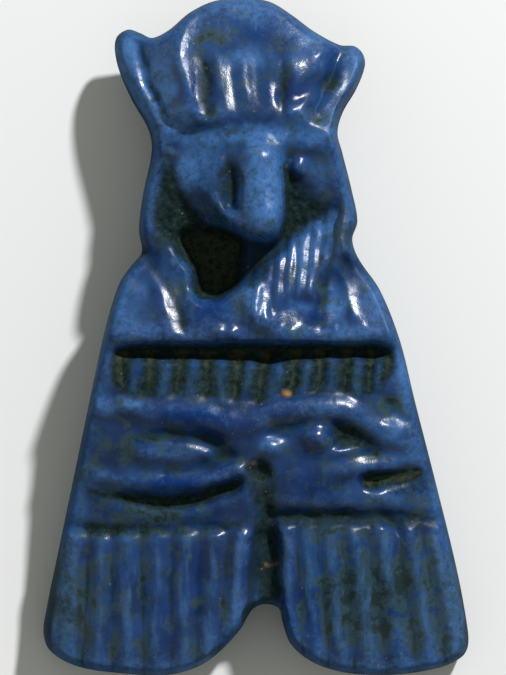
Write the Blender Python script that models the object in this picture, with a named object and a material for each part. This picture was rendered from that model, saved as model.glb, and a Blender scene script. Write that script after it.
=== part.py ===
"""A small amulet carved from one piece of lapis lazuli.

It joins a fly's body with two folded, ribbed wings to a falcon's head under a fluted crown, and a band
of eyes crosses the body above the wings.  The amulet is one solid: its front is worked in relief, its
sides are rounded, and its back is ground flat, so it lies on its back.  Only the crown, with its two
horns, stands clear of what the back lies on.

Seen from the front, +X is to the right, +Y runs up to the crown and +Z comes out of the carving.  The
origin is on the flat back, at the middle of the amulet's length and width.

All sizes below are millimetres.  The relief is one height above the back for each place (x, y): a body
with smooth profiles, areas cut to a level of their own, and strokes and flutes raised on it or cut in.
"""

from collections import namedtuple

import bmesh
import bpy
import numpy as np

MM = 0.001

# ---------------------------------------------------------------- driving sizes
LENGTH = 24.0
WIDTH = 15.1
THICKNESS = 5.6

RIM_WIDTH = 0.60            # how far in from the outline the front rounds over
UNDERCUT = 0.28             # how far the flat back stays inside the outline
STEADY = 0.25               # reach along the outline over which its direction is taken
RAISED_FROM = 7.0           # above this y the underside of the crown leaves the flat back ...
RAISED_TO = 10.0            # ... and from here on it is fully raised
BACK_NARROWING = 0.28       # share by which the flat back is narrower than the raised crown
BACK_SHORTENING = 1.0       # how far the flat back ends below the raised crown's edge
FADE = 0.35                 # share of a stroke over which it grows from its end
SHARP_EDGE = 60.0           # degrees: only a fold sharper than this is shaded as an edge

# ---------------------------------------------------------------- density of the faces
COLUMNS = 44                # between the two rounded rims
RIM_STEPS = 3               # across each rounded rim
SIDE_STEPS = 3              # from the widest line down to the flat back
WING_ROWS = 9
CROWN_ROWS = 11
WING_LINE = -6.8            # rows are straight from here ...
CROWN_LINE = 7.2            # ... up to here, and bend to the outline beyond
ROW_BANDS = ((-2.1, 15), (0.1, 8), (3.4, 11), (CROWN_LINE, 15))    # (upper end, rows in the band)
CURVE_STEPS = 12            # straight pieces between two points of the outline
PATH_STEPS = 5              # the same, for an area's edge or a stroke

# ---------------------------------------------------------------- outline, clockwise in four stretches
LEFT_SIDE = (
    (-7.30, -11.14), (-7.54, -10.50), (-7.42, -9.60), (-6.98, -7.49), (-6.38, -4.67), (-5.78, -1.85),
    (-5.27, 0.44), (-4.80, 1.92), (-4.36, 2.56), (-4.02, 3.00), (-4.12, 3.80), (-3.98, 5.02),
    (-3.68, 6.60), (-3.80, 7.35), (-4.40, 8.42), (-4.84, 9.45), (-5.00, 10.25),
)
CROWN_TOP = (
    (-4.90, 10.68), (-4.51, 10.91), (-4.09, 10.78), (-3.67, 10.61), (-3.10, 10.87), (-2.33, 11.51),
    (-1.45, 11.92), (-0.39, 12.00), (0.49, 11.89), (1.30, 11.40), (2.05, 10.84), (2.96, 10.36),
    (3.50, 10.31),
)
RIGHT_SIDE = (
    (3.80, 10.02), (3.86, 9.60), (3.55, 8.78), (3.08, 7.97), (2.89, 7.24), (3.05, 6.55), (3.38, 5.20),
    (3.58, 4.10), (3.40, 3.45), (3.62, 2.78), (4.37, 1.67), (5.07, -0.09), (5.60, -2.20),
    (6.38, -5.20), (7.12, -8.19), (7.50, -10.20), (7.54, -10.95),
)
WING_ENDS = (
    (7.30, -11.37), (6.48, -11.75), (4.72, -12.00), (3.10, -11.90), (1.97, -11.51), (1.25, -10.90),
    (0.97, -10.20), (0.82, -9.62), (0.32, -9.47), (-0.12, -9.66), (-0.56, -10.38), (-1.44, -11.30),
    (-2.20, -11.76), (-3.21, -12.00), (-5.00, -11.92), (-6.40, -11.67),
)

# ---------------------------------------------------------------- profiles along Y: (y, height)
MIDDLE_HEIGHT = (
    (-12.0, 2.1), (-11.0, 2.5), (-9.0, 2.85), (-7.0, 3.2), (-5.0, 3.7), (-3.0, 4.05), (-1.0, 4.25),
    (0.3, 4.45), (2.0, 4.4), (3.5, 4.2), (5.0, 4.3), (6.6, 4.7), (7.5, 4.76), (8.1, 4.86), (8.8, 4.66),
    (9.6, 4.34), (10.2, 4.12), (10.8, 3.90), (11.4, 3.66), (12.0, 3.40),
)
EDGE_HEIGHT = (
    (-12.0, 1.55), (-10.0, 1.85), (-8.4, 2.1), (-5.8, 2.6), (-3.0, 3.3), (-0.6, 3.85), (1.5, 3.8),
    (3.0, 3.4), (4.2, 3.65), (5.4, 3.5), (6.4, 3.2), (7.2, 2.9), (8.2, 2.5), (9.4, 2.35), (10.3, 2.3),
    (12.0, 2.2),
)
WIDEST_LINE = (
    (-12.0, 0.9), (-10.0, 1.2), (-8.4, 1.4), (-5.8, 1.9), (-3.0, 2.55), (-0.6, 3.05), (1.4, 3.05),
    (4.2, 2.95), (5.4, 2.8), (6.9, 2.1), (8.7, 1.8), (9.4, 1.8), (10.3, 1.75), (12.0, 1.6),
)
SLAB = 0.5                  # 0: the front is a plain arch from side to side; 1: flat, falling near the sides

# ---------------------------------------------------------------- kinds of carving
# An area is cut to its own level, which may differ at its top and bottom and lean to the right.  Its edge
# slopes over the width `edge`.
Area = namedtuple("Area", "edge top bottom lean points")
# A stroke is a ridge along a path, or a groove where its rise is below zero.  Its start and its end may
# have a smaller share of the rise.  A fuller stroke is flatter on top.
Stroke = namedtuple("Stroke", "half_width rise points start end fullness", defaults=(1.0, 1.0, 1.0))
# A mound is a round swelling, or a dimple where its rise is below zero.
Mound = namedtuple("Mound", "x y radius_x radius_y rise")
# Flutes are rounded ribs side by side, between grooves given by their x at a low and at a high y.
Flutes = namedtuple("Flutes", "rise low_y high_y low_grooves high_grooves")

# ---------------------------------------------------------------- head
HOOD_HOLLOW_LEFT = Area(0.85, 4.05, 3.40, 0.0, (
    (-3.25, 6.15), (-2.85, 6.10), (-2.60, 5.4), (-2.0, 4.6), (-1.2, 3.8), (-1.6, 3.1), (-2.5, 2.85),
    (-3.25, 3.35), (-3.60, 4.2), (-3.48, 5.4),
))
HOOD_HOLLOW_RIGHT = Area(0.70, 4.45, 3.36, 0.0, (
    (0.85, 6.2), (1.4, 5.95), (1.9, 5.6), (2.5, 5.3), (3.02, 5.1), (2.55, 4.35), (2.0, 3.98), (1.5, 3.68),
    (1.0, 3.28), (0.4, 2.85), (0.5, 3.4), (0.85, 4.2),
))
THROAT_HOLLOW = Area(0.60, 2.8, 2.7, 0.0, (
    (-2.45, 3.5), (-1.0, 4.0), (0.3, 3.5), (0.28, 3.05), (-0.20, 2.55), (-0.36, 2.2), (-0.65, 1.75),
    (-1.4, 1.40), (-2.0, 1.48), (-2.35, 2.5),
))
RIGHT_CHEEK = Area(1.10, 4.80, 4.12, 0.0, (
    (1.15, 6.9), (2.2, 7.1), (3.1, 7.1), (3.2, 5.8), (3.0, 5.0), (2.2, 4.95), (1.50, 5.5),
))
BROW = Area(0.50, 4.78, 4.80, 0.0, (
    (-3.10, 7.10), (-2.0, 7.34), (0.0, 7.38), (2.0, 7.34), (2.8, 7.20), (2.9, 6.66), (1.2, 6.56),
    (-1.0, 6.5), (-3.3, 6.55),
))
BROW_LEFT = Area(0.50, 4.23, 4.23, 0.36, (
    (-3.55, 7.05), (-3.3, 7.25), (-2.4, 7.34), (-1.2, 7.38), (-0.9, 7.0), (-1.1, 6.5), (-2.2, 6.45),
    (-3.4, 6.55),
))
LEFT_CHEEK = Area(0.50, 4.47, 4.70, 0.36, (
    (-2.82, 7.1), (-2.66, 6.3), (-2.40, 5.6), (-2.05, 5.10), (-1.58, 4.65), (-1.22, 4.18), (-0.7, 4.0),
    (-0.7, 5.5), (-0.8, 7.1),
))
FACE = Area(0.50, 4.79, 5.26, 0.07, (
    (-0.75, 7.1), (-0.85, 6.3), (-0.95, 5.3), (-0.90, 4.4), (-0.80, 3.85), (-0.38, 3.58), (0.05, 3.36),
    (0.52, 3.37), (0.88, 3.78), (0.97, 4.4), (0.96, 5.6), (0.92, 6.4), (0.95, 7.1),
))
CHEEK_SLOT = Area(0.50, 4.62, 4.50, 0.0, (
    (-0.95, 6.50), (-1.18, 6.1), (-1.26, 5.3), (-1.12, 4.7), (-0.86, 4.36), (-0.64, 4.6), (-0.58, 5.4),
    (-0.72, 6.15),
))
RIGHT_BORDER = Area(0.70, 3.50, 4.20, -0.04, (
    (2.70, 3.0), (3.9, 2.9), (4.0, 4.2), (3.7, 5.5), (3.0, 5.5), (2.78, 4.5),
))
CHEEK_FOOT = Area(1.00, 4.16, 4.36, 0.0, (
    (-2.55, 6.7), (-2.70, 6.0), (-2.58, 5.4), (-2.30, 4.85), (-1.9, 4.40), (-1.45, 4.0), (-0.9, 3.80),
    (-0.8, 5.5), (-1.5, 6.6),
))
HEAD_AREAS = (
    RIGHT_BORDER, HOOD_HOLLOW_LEFT, HOOD_HOLLOW_RIGHT, THROAT_HOLLOW, RIGHT_CHEEK, BROW, BROW_LEFT,
    CHEEK_FOOT, LEFT_CHEEK, FACE, CHEEK_SLOT,
)
HEAD_STROKES = (
    # the beak, rising to its tip
    Stroke(0.95, 0.44, ((0.08, 7.4), (0.08, 6.4), (0.10, 5.4), (0.22, 4.30)), start=0.0, fullness=1.2),
    # left border of the hood, and the soft edge of the left cheek
    Stroke(0.60, 0.08, ((-3.20, 6.9), (-3.62, 6.2), (-3.80, 5.4), (-3.84, 4.7), (-3.80, 3.9), (-3.6, 3.4)),
           fullness=1.5),
    # right border of the hood
    Stroke(0.50, 0.08, ((3.10, 5.6), (3.12, 5.0), (3.08, 4.4), (3.00, 3.5)), start=0.3, end=0.5,
           fullness=0.5),
)
HEAD_MOUNDS = (
    Mound(1.50, 5.98, 0.56, 0.56, 0.25),
)

# ---------------------------------------------------------------- crown
CROWN_FOOT = Area(1.00, 4.82, 4.78, 0.0, (
    (-2.1, 6.9), (0.0, 6.9), (2.65, 6.9), (2.6, 7.6), (2.0, 8.2), (0.0, 8.1), (-1.9, 8.1), (-2.2, 7.6),
))
FAN = Area(1.50, 3.56, 4.86, 0.04, (
    (-2.6, 7.8), (-3.10, 9.0), (-3.35, 10.2), (-3.1, 10.85), (-2.2, 11.45), (-1.3, 11.7), (-0.3, 11.8),
    (0.5, 11.65), (1.3, 11.1), (2.1, 10.6), (2.75, 10.25), (2.55, 9.3), (2.0, 8.5), (1.2, 8.0),
))
RIGHT_HORN = Area(0.60, 3.15, 4.72, 0.04, (
    (1.9, 7.9), (2.5, 7.3), (3.4, 7.2), (4.2, 9.0), (4.3, 10.2), (3.6, 10.7), (3.0, 10.3), (2.7, 9.4),
    (2.2, 8.6),
))
LEFT_HORN = Area(0.70, 2.62, 3.76, 0.0, (
    (-4.75, 9.9), (-4.65, 10.6), (-4.1, 10.6), (-3.72, 9.9), (-3.42, 9.0), (-3.10, 8.3), (-2.9, 7.3),
    (-3.5, 7.4), (-4.0, 8.4), (-4.45, 9.2),
))
HORN_SLOPE = Area(0.40, 3.66, 4.00, 0.8, (
    (-3.98, 10.2), (-3.4, 10.55), (-2.9, 10.5), (-2.75, 9.7), (-2.60, 8.9), (-2.5, 8.1), (-3.0, 7.55),
    (-3.3, 7.9), (-3.55, 8.6), (-3.85, 9.4),
))
CROWN_AREAS = (CROWN_FOOT, FAN, RIGHT_HORN, LEFT_HORN, HORN_SLOPE)
CROWN_STROKES = (
    # left horn
    Stroke(0.36, 0.07, ((-4.30, 10.3), (-4.22, 9.7), (-4.05, 9.1), (-3.88, 8.65), (-3.5, 8.1), (-3.2, 7.6)),
           start=0.2, end=0.3, fullness=0.5),
    # left petal
    Stroke(0.50, 0.10, ((-2.25, 11.4), (-2.40, 11.0), (-2.64, 10.5), (-2.72, 9.9), (-2.60, 9.3),
           (-2.40, 8.5)), start=0.7, end=0.6, fullness=0.5),
    # middle flutes: groove and rib in turn
    Stroke(0.40, -0.12, ((-1.96, 10.3), (-1.80, 9.4), (-1.68, 8.5), (-1.60, 7.6)), start=0.0, end=0.3),
    Stroke(0.36, 0.065, ((-1.5, 10.2), (-1.26, 9.3), (-1.12, 8.5), (-1.0, 7.8)), start=0.0, end=0.3,
           fullness=0.5),
    Stroke(0.34, -0.14, ((0.88, 10.0), (1.00, 9.3), (0.97, 8.5), (0.87, 7.6)), start=0.0, end=0.3),
    # the trough along the right petal's lower edge
    Stroke(0.50, -0.16, ((0.95, 8.35), (1.55, 8.50), (2.05, 8.88), (2.50, 9.35), (2.78, 9.95), (2.9, 10.6)),
           start=0.4, end=0.3),
    # the ridges from the right horn down to the crown's foot
    Stroke(0.32, 0.07, ((1.45, 8.10), (2.0, 8.45), (2.45, 8.90)), start=0.3, end=0.3),
    Stroke(0.36, 0.065, ((2.95, 10.0), (2.98, 9.5), (3.00, 8.95), (2.64, 8.40), (2.22, 7.95)), start=0.3,
           end=0.8, fullness=0.5),
)
CROWN_MOUNDS = (
    Mound(1.06, 9.58, 0.95, 0.90, 0.15),
)

# ---------------------------------------------------------------- chest and shoulders
LEFT_LAPPET = Area(0.60, 3.55, 4.05, 0.05, (
    (-3.85, 3.45), (-3.25, 3.40), (-2.85, 3.00), (-2.5, 2.4), (-2.25, 1.7), (-2.5, 1.3), (-3.0, 2.1),
))
RIGHT_LAPPET = Area(0.70, 3.45, 4.74, -0.06, (
    (2.9, 4.90), (3.3, 4.4), (3.4, 3.5), (3.1, 3.0), (2.7, 2.4), (2.35, 1.6), (1.4, 1.4), (0.75, 1.2),
    (0.55, 0.4), (-0.10, 0.4), (-0.42, 1.3), (-0.05, 2.2), (0.55, 3.0), (1.5, 3.75), (2.3, 4.30),
))
LEFT_SHOULDER = Area(0.90, 3.60, 4.46, 0.03, (
    (-4.2, 2.6), (-3.65, 2.35), (-3.2, 1.7), (-2.85, 0.9), (-2.6, 0.0), (-5.4, 0.0), (-5.0, 1.5),
))
RIGHT_SHOULDER = Area(0.90, 3.55, 4.44, 0.04, (
    (3.0, 2.7), (4.0, 2.9), (5.0, 1.4), (5.6, 0.0), (2.25, 0.0), (2.45, 1.2),
))
CHEST_AREAS = (LEFT_LAPPET, LEFT_SHOULDER, RIGHT_SHOULDER, RIGHT_LAPPET)
CHEST_STROKES = (
    # the grooves between the wig and the shoulders
    Stroke(0.50, -0.24, ((-4.1, 3.15), (-3.6, 2.70), (-3.10, 1.95), (-2.70, 1.20), (-2.40, 0.3)), end=0.2),
    Stroke(0.38, -0.20, ((3.00, 2.85), (2.8, 2.55), (2.50, 2.1), (2.26, 1.3), (2.15, 0.5)), start=0.0,
           end=0.3),
    # crests of the shoulders
    Stroke(0.46, 0.09, ((-3.66, 2.3), (-3.40, 1.5), (-3.16, 0.9), (-2.96, 0.3)), start=0.6, end=0.9,
           fullness=0.5),
    Stroke(0.42, 0.09, ((2.72, 2.55), (3.06, 2.28), (3.32, 1.6), (3.42, 0.9), (3.70, 0.35)), start=0.7,
           end=0.9, fullness=0.5),
    # the wig's left end
    Stroke(0.45, 0.10, ((-3.35, 3.5), (-3.12, 3.1), (-2.85, 2.5), (-2.6, 1.9)), end=0.0, fullness=0.5),
    # polished lip over the waist groove
    Stroke(0.50, 0.05, ((-4.9, 0.02), (-2.0, 0.0), (2.0, 0.0), (4.7, 0.0)), start=0.3, end=0.3,
           fullness=1.2),
    # left edge of the middle lobe
    Stroke(0.50, 0.09, ((0.10, 2.0), (-0.08, 1.5), (-0.08, 0.9), (0.05, 0.3)), start=0.3, end=0.6,
           fullness=0.5),
    # polished knob above the waist groove
    Stroke(0.70, 0.21, ((1.00, 0.52), (1.38, 0.26), (1.76, 0.0)), start=0.4, end=0.4, fullness=0.5),
)
CHEST_MOUNDS = (
    Mound(1.60, 1.20, 0.90, 0.55, -0.08),
    Mound(-1.60, 1.10, 0.95, 0.55, -0.07),
)
LAPPET_FLUTES = Flutes(
    0.08, 1.2, 3.6,
    (-0.60, -0.15, 0.22, 0.55, 0.92, 1.30, 1.68, 2.00, 2.35),
    (-0.30, 0.05, 0.40, 0.75, 1.12, 1.48, 1.95, 2.35, 2.75),
)

# ---------------------------------------------------------------- groove and hatched band
WAIST_GROOVE = Area(0.40, 3.45, 3.45, 0.0, (
    (-4.95, -0.48), (-3.8, -0.34), (-1.0, -0.30), (0.5, -0.28), (3.0, -0.32), (4.3, -0.38), (4.75, -0.52),
    (4.2, -0.68), (2.0, -0.76), (0.3, -0.94), (-1.0, -0.80), (-3.8, -0.72),
))
HATCHED_BAND = Area(0.50, 3.85, 3.90, 0.0, (
    (-4.9, -0.55), (-1.0, -0.60), (4.7, -0.55), (4.4, -1.90), (2.0, -2.0), (-0.2, -2.30), (-2.0, -2.12),
    (-4.8, -1.90),
))
HATCHING = Flutes(
    0.12, -2.2, -0.8,
    (-4.75, -3.85, -2.80, -1.72, -0.78, 0.05, 1.10, 2.18, 3.10, 3.95, 4.60),
    (-4.65, -3.70, -2.65, -1.68, -0.62, 0.30, 1.40, 2.25, 3.20, 4.05, 4.60),
)

# ---------------------------------------------------------------- band of eyes
LEFT_EYE_BED = Area(0.80, 3.64, 3.52, 0.0, (
    (-4.95, -3.95), (-4.3, -3.50), (-2.9, -3.32), (-1.7, -3.48), (-0.9, -3.95), (-0.65, -4.3),
    (-1.5, -4.70), (-2.8, -4.82), (-4.2, -4.70),
))
LEFT_EYE = Area(0.60, 3.86, 3.88, 0.0, (
    (-4.25, -4.02), (-3.6, -3.70), (-2.7, -3.60), (-1.9, -3.78), (-1.50, -4.05), (-1.9, -4.32),
    (-2.8, -4.48), (-3.7, -4.38),
))
EYE_HOLLOW_RIGHT = Area(0.60, 3.62, 3.50, 0.0, (
    (2.85, -3.10), (3.5, -3.18), (4.0, -3.50), (4.40, -3.85), (3.8, -4.00), (3.2, -3.85), (2.8, -3.75),
    (2.75, -3.3),
))
RIGHT_LENS = Area(0.45, 3.0, 3.0, 0.0, (
    (3.70, -5.02), (4.2, -4.80), (5.0, -4.72), (5.75, -4.62), (5.90, -4.82), (5.4, -5.08), (4.6, -5.24),
    (4.0, -5.30),
))
LID_GROOVE = Area(0.50, 3.12, 3.00, 0.0, (
    (-5.9, -5.28), (-4.9, -5.46), (-4.0, -5.54), (-2.9, -5.58), (-1.9, -5.42), (-1.2, -5.18), (-0.5, -5.05),
    (-0.6, -5.32), (-1.2, -5.58), (-1.9, -5.88), (-2.9, -6.10), (-4.0, -5.98), (-4.9, -5.74), (-5.8, -5.45),
))
EYE_AREAS = (LEFT_EYE_BED, LEFT_EYE, EYE_HOLLOW_RIGHT, RIGHT_LENS, LID_GROOVE)
EYE_STROKES = (
    # brow over both eyes
    Stroke(0.66, 0.26, ((-5.8, -2.50), (-4.4, -2.55), (-3.0, -2.68), (-1.8, -2.85), (-0.9, -3.08),
           (-0.1, -3.0), (0.8, -2.68), (1.6, -2.50), (2.5, -2.45), (3.3, -2.52), (3.75, -2.85),
           (4.3, -3.30), (4.9, -3.62), (5.6, -3.85)), start=0.5, end=0.7, fullness=1.2),
    # left eye's lower lid
    Stroke(0.46, 0.20, ((-5.9, -4.80), (-5.0, -4.98), (-4.0, -5.16), (-3.0, -5.24), (-2.0, -5.16),
           (-1.2, -4.93), (-0.62, -4.60)), start=0.5, fullness=1.2),
    # bridge between the eyes, right eye's ridges and lashes
    Stroke(0.60, -0.16, ((0.2, -3.25), (0.8, -3.15), (1.6, -3.1)), start=0.3, end=0.5),
    Stroke(0.38, 0.14, ((1.9, -4.45), (2.5, -4.50), (3.5, -4.55), (4.6, -4.42), (5.9, -4.22)), start=0.3,
           end=0.6),
    Stroke(0.40, -0.14, ((4.35, -2.05), (4.75, -2.45), (5.0, -2.75)), start=0.4, end=0.3),
    Stroke(0.30, 0.05, ((4.1, -5.50), (5.0, -5.55), (6.0, -5.45)), start=0.8, end=0.2),
    # grooves over both wings
    Stroke(0.42, -0.26, ((0.6, -6.28), (2.0, -6.30), (3.4, -6.32), (4.0, -6.30), (5.0, -6.36),
           (6.5, -6.36)), end=0.4),
    Stroke(0.36, -0.12, ((-6.5, -6.72), (-5.5, -6.80), (-4.5, -6.86), (-2.5, -6.66), (-0.3, -6.60)),
           end=0.4),
)
EYE_MOUNDS = (
    Mound(2.16, -3.50, 0.75, 0.68, 0.38),
    Mound(0.50, -3.90, 0.75, 0.50, 0.26),
    Mound(0.15, -4.70, 0.55, 0.45, -0.28),
    Mound(-4.45, -2.45, 0.60, 0.45, 0.08),
)
EYE_FLUTES = Flutes(0.10, -6.0, -4.7, (0.85, 1.75, 2.55, 3.6), (0.85, 1.90, 2.85, 3.7))

# ---------------------------------------------------------------- wings
SEAM_STROKES = (
    Stroke(0.50, -0.16, ((0.28, -4.9), (0.36, -5.8), (0.38, -6.9))),
    Stroke(0.75, -0.50, ((0.38, -6.2), (0.40, -7.6), (0.38, -8.8), (0.34, -9.7)), start=0.2),
)
LEFT_RIBS = Flutes(
    0.20, -11.4, -7.0,
    (-7.30, -6.10, -5.07, -3.95, -3.00, -2.08, -1.35, -0.60),
    (-6.95, -5.85, -5.05, -4.02, -2.93, -1.94, -0.95, -0.05),
)
RIGHT_RIBS = Flutes(
    0.22, -11.4, -7.0,
    (0.80, 1.65, 2.60, 3.45, 4.60, 5.70, 6.75, 7.60),
    (0.72, 1.45, 2.15, 3.05, 3.95, 5.05, 5.90, 7.00),
)
RIB_START_LEFT = (-6.60, -7.10)     # the ribs rise from nothing between these two y
RIB_START_RIGHT = (-6.35, -7.30)

# ---------------------------------------------------------------- stone
LAPIS_BLUE = (0.085, 0.170, 0.360, 1.0)
POLISH = 0.22               # roughness


def soft_step(low, high, value):
    """0 before low, 1 after high, and a smooth rise between them."""
    t = np.clip((value - low) / (high - low), 0.0, 1.0)
    return t * t * (3.0 - 2.0 * t)


def hermite(start, end, start_slope, end_slope, t):
    """Cubic from start to end, with the given slopes over a span of 1."""
    return (
        start * (2 * t**3 - 3 * t**2 + 1)
        + start_slope * (t**3 - 2 * t**2 + t)
        + end * (3 * t**2 - 2 * t**3)
        + end_slope * (t**3 - t**2)
    )


def profile(value, stations):
    """Height read from a smooth curve through (place, height) stations, level beyond both ends."""
    places, heights = np.array(stations).T
    slopes = np.gradient(heights, places)
    value = np.clip(value, places[0], places[-1])
    i = np.clip(np.searchsorted(places, value) - 1, 0, len(places) - 2)
    span = places[i + 1] - places[i]
    t = (value - places[i]) / span
    return hermite(heights[i], heights[i + 1], slopes[i] * span, slopes[i + 1] * span, t)


def curve_through(points, steps, closed):
    """Points along a smooth curve through the given points, with `steps` pieces between two of them."""
    points = np.array(points, dtype=float)
    count = len(points)
    if closed:
        before = np.roll(points, 1, axis=0)
        after = np.roll(points, -1, axis=0)
    else:
        before = np.vstack((points[:1], points[:-1]))
        after = np.vstack((points[1:], points[-1:]))
    reach_back = np.linalg.norm(points - before, axis=1)
    reach_on = np.linalg.norm(after - points, axis=1)
    tangents = (after - before) / (reach_back + reach_on)[:, None]
    curve = []
    for i in range(count if closed else count - 1):
        j = (i + 1) % count
        length = reach_on[i]
        for step in range(steps):
            share = step / steps
            curve.append(hermite(points[i], points[j], tangents[i] * length, tangents[j] * length, share))
    if not closed:
        curve.append(points[-1])
    return np.array(curve)


def nearest_on(x, y, path):
    """Distance from each (x, y) to the nearest place on an open path, and that place's share of the path."""
    lengths = np.linalg.norm(np.diff(path, axis=0), axis=1)
    starts = np.concatenate(((0.0,), np.cumsum(lengths)))
    nearest = np.full(np.shape(x), np.inf)
    share = np.zeros(np.shape(x))
    for (ax, ay), (bx, by), start, length in zip(path[:-1], path[1:], starts, lengths):
        dx = bx - ax
        dy = by - ay
        t = np.clip(((x - ax) * dx + (y - ay) * dy) / length**2, 0.0, 1.0)
        square = (x - ax - t * dx) ** 2 + (y - ay - t * dy) ** 2
        share = np.where(square < nearest, (start + t * length) / starts[-1], share)
        nearest = np.minimum(nearest, square)
    return np.sqrt(nearest), share


def is_inside(x, y, loop):
    """True where (x, y) lies inside a closed loop, whose edge is then crossed an odd number of times."""
    odd = np.zeros(np.shape(x), dtype=bool)
    for (ax, ay), (bx, by) in zip(loop[:-1], loop[1:]):
        if ay != by:
            crosses = ((ay > y) != (by > y)) & (x < ax + (y - ay) * (bx - ax) / (by - ay))
            odd ^= crosses
    return odd


def area_share(x, y, area):
    """1 inside an area, 0 outside it, and a smooth slope across its edge."""
    loop = curve_through(area.points, PATH_STEPS, closed=True)
    loop = np.vstack((loop, loop[:1]))
    distance = nearest_on(x, y, loop)[0]
    signed = np.where(is_inside(x, y, loop), distance, -distance)
    return soft_step(-0.5 * area.edge, 0.5 * area.edge, signed)


def area_level(x, y, area):
    """The level an area is cut to: it changes evenly from bottom to top, and leans to the right."""
    places = np.array(area.points)
    low, high = places[:, 1].min(), places[:, 1].max()
    return np.interp(y, (low, high), (area.bottom, area.top)) + area.lean * (x - places[:, 0].mean())


def rounded(distance, fullness=1.0):
    """1 at no distance and 0 from a distance of 1 on, round on top and soft at its foot."""
    t = np.clip(distance, 0.0, 1.0)
    return (1.0 - t ** (2.0 * fullness)) ** 2


def stroke_height(x, y, stroke):
    """Height that a ridge adds, or below zero what a groove takes away."""
    path = curve_through(stroke.points, PATH_STEPS, closed=False)
    distance, share = nearest_on(x, y, path)
    strength = stroke.start + (1.0 - stroke.start) * soft_step(0.0, FADE, share)
    strength = strength * (stroke.end + (1.0 - stroke.end) * soft_step(0.0, FADE, 1.0 - share))
    width = stroke.half_width * (0.6 + 0.4 * strength)
    return stroke.rise * strength * rounded(distance / width, stroke.fullness)


def mound_height(x, y, mound):
    """Height of a round swelling with its own reach along x and y."""
    return mound.rise * rounded(np.hypot((x - mound.x) / mound.radius_x, (y - mound.y) / mound.radius_y))


def flute_height(x, y, flutes):
    """Ribs between grooves: 0 in each groove and the full rise on each rib's crest."""
    total = np.zeros(np.shape(x))
    along = (y - flutes.low_y) / (flutes.high_y - flutes.low_y)
    grooves = [low + (high - low) * along for low, high in zip(flutes.low_grooves, flutes.high_grooves)]
    for left, right in zip(grooves[:-1], grooves[1:]):
        across = np.clip((x - left) / (right - left), 0.0, 1.0)
        total = total + flutes.rise * np.sin(np.pi * across) ** 0.8
    return total


def within(y, low, high, fade):
    """1 between low and high, fading to 0 outside them."""
    return soft_step(low - fade, low, y) * (1.0 - soft_step(high, high + fade, y))


class Outline:
    """The amulet's outline: one smooth closed curve, and its four stretches."""

    def __init__(self):
        stretches = (LEFT_SIDE, CROWN_TOP, RIGHT_SIDE, WING_ENDS)
        curve = curve_through([point for stretch in stretches for point in stretch], CURVE_STEPS, closed=True)
        self.loop = np.vstack((curve, curve[:1]))
        ends = np.cumsum([0] + [len(stretch) * CURVE_STEPS for stretch in stretches])
        self.left, self.top, right, bottom = (self.loop[a:b + 1] for a, b in zip(ends[:-1], ends[1:]))
        self.right = right[::-1]
        self.bottom = bottom[::-1]

    def left_x(self, y):
        return np.interp(y, self.left[:, 1], self.left[:, 0])

    def right_x(self, y):
        return np.interp(y, self.right[:, 1], self.right[:, 0])

    def top_y(self, x):
        return np.interp(x, self.top[:, 0], self.top[:, 1])

    def bottom_y(self, x):
        return np.interp(x, self.bottom[:, 0], self.bottom[:, 1])


def body_height(x, y, outline):
    """The body before carving: a profile along the middle that falls away to both sides."""
    left = outline.left_x(y)
    right = outline.right_x(y)
    across = (x - 0.5 * (left + right)) / (0.5 * (right - left))
    fall = (1.0 - SLAB) * across**2 + SLAB * across**4
    middle = profile(y, MIDDLE_HEIGHT)
    return middle + (profile(y, EDGE_HEIGHT) - middle) * np.clip(fall, 0.0, 1.0)


def cut_areas(x, y, z, areas):
    """Cut each area to its own level, area after area."""
    for area in areas:
        z = z + area_share(x, y, area) * (area_level(x, y, area) - z)
    return z


def raise_strokes(x, y, z, strokes, mounds):
    """Add ridges, grooves and swellings."""
    for stroke in strokes:
        z = z + stroke_height(x, y, stroke)
    for mound in mounds:
        z = z + mound_height(x, y, mound)
    return z


def head_and_chest(x, y, z):
    """Cut the crown, the falcon's face, the hood's lappets and the shoulders."""
    z = cut_areas(x, y, z, CROWN_AREAS + CHEST_AREAS)
    z = raise_strokes(x, y, z, CROWN_STROKES + CHEST_STROKES, CROWN_MOUNDS + CHEST_MOUNDS)
    z = z + area_share(x, y, RIGHT_LAPPET) * flute_height(x, y, LAPPET_FLUTES)
    z = cut_areas(x, y, z, HEAD_AREAS)
    return raise_strokes(x, y, z, HEAD_STROKES, HEAD_MOUNDS)


def waist_and_eyes(x, y, z):
    """Cut the groove under the chest, the hatched band and the band of eyes."""
    z = cut_areas(x, y, z, (HATCHED_BAND,))
    z = z + area_share(x, y, HATCHED_BAND) * flute_height(x, y, HATCHING)
    z = cut_areas(x, y, z, EYE_AREAS)
    z = raise_strokes(x, y, z, EYE_STROKES, EYE_MOUNDS)
    return z + within(y, -6.0, -4.8, 0.2) * flute_height(x, y, EYE_FLUTES)


def wings(x, y, z):
    """Raise the ribs of both wings and cut the seam between them."""
    left = 1.0 - soft_step(RIB_START_LEFT[1], RIB_START_LEFT[0], y)
    right = 1.0 - soft_step(RIB_START_RIGHT[1], RIB_START_RIGHT[0], y)
    z = z + left * flute_height(x, y, LEFT_RIBS) + right * flute_height(x, y, RIGHT_RIBS)
    return raise_strokes(x, y, z, SEAM_STROKES, ())


def relief(x, y, outline):
    """Height of the front above the back, rounded down to the widest line along the outline."""
    z = wings(x, y, body_height(x, y, outline))
    z = waist_and_eyes(x, y, z)
    z = head_and_chest(x, y, z)
    z = cut_areas(x, y, z, (WAIST_GROOVE,))
    rim = profile(y, WIDEST_LINE)
    inwards = np.clip(nearest_on(x, y, outline.loop)[0] / RIM_WIDTH, 0.0, 1.0)
    return rim + (z - rim) * np.sqrt(1.0 - (1.0 - inwards) ** 2)


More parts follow.
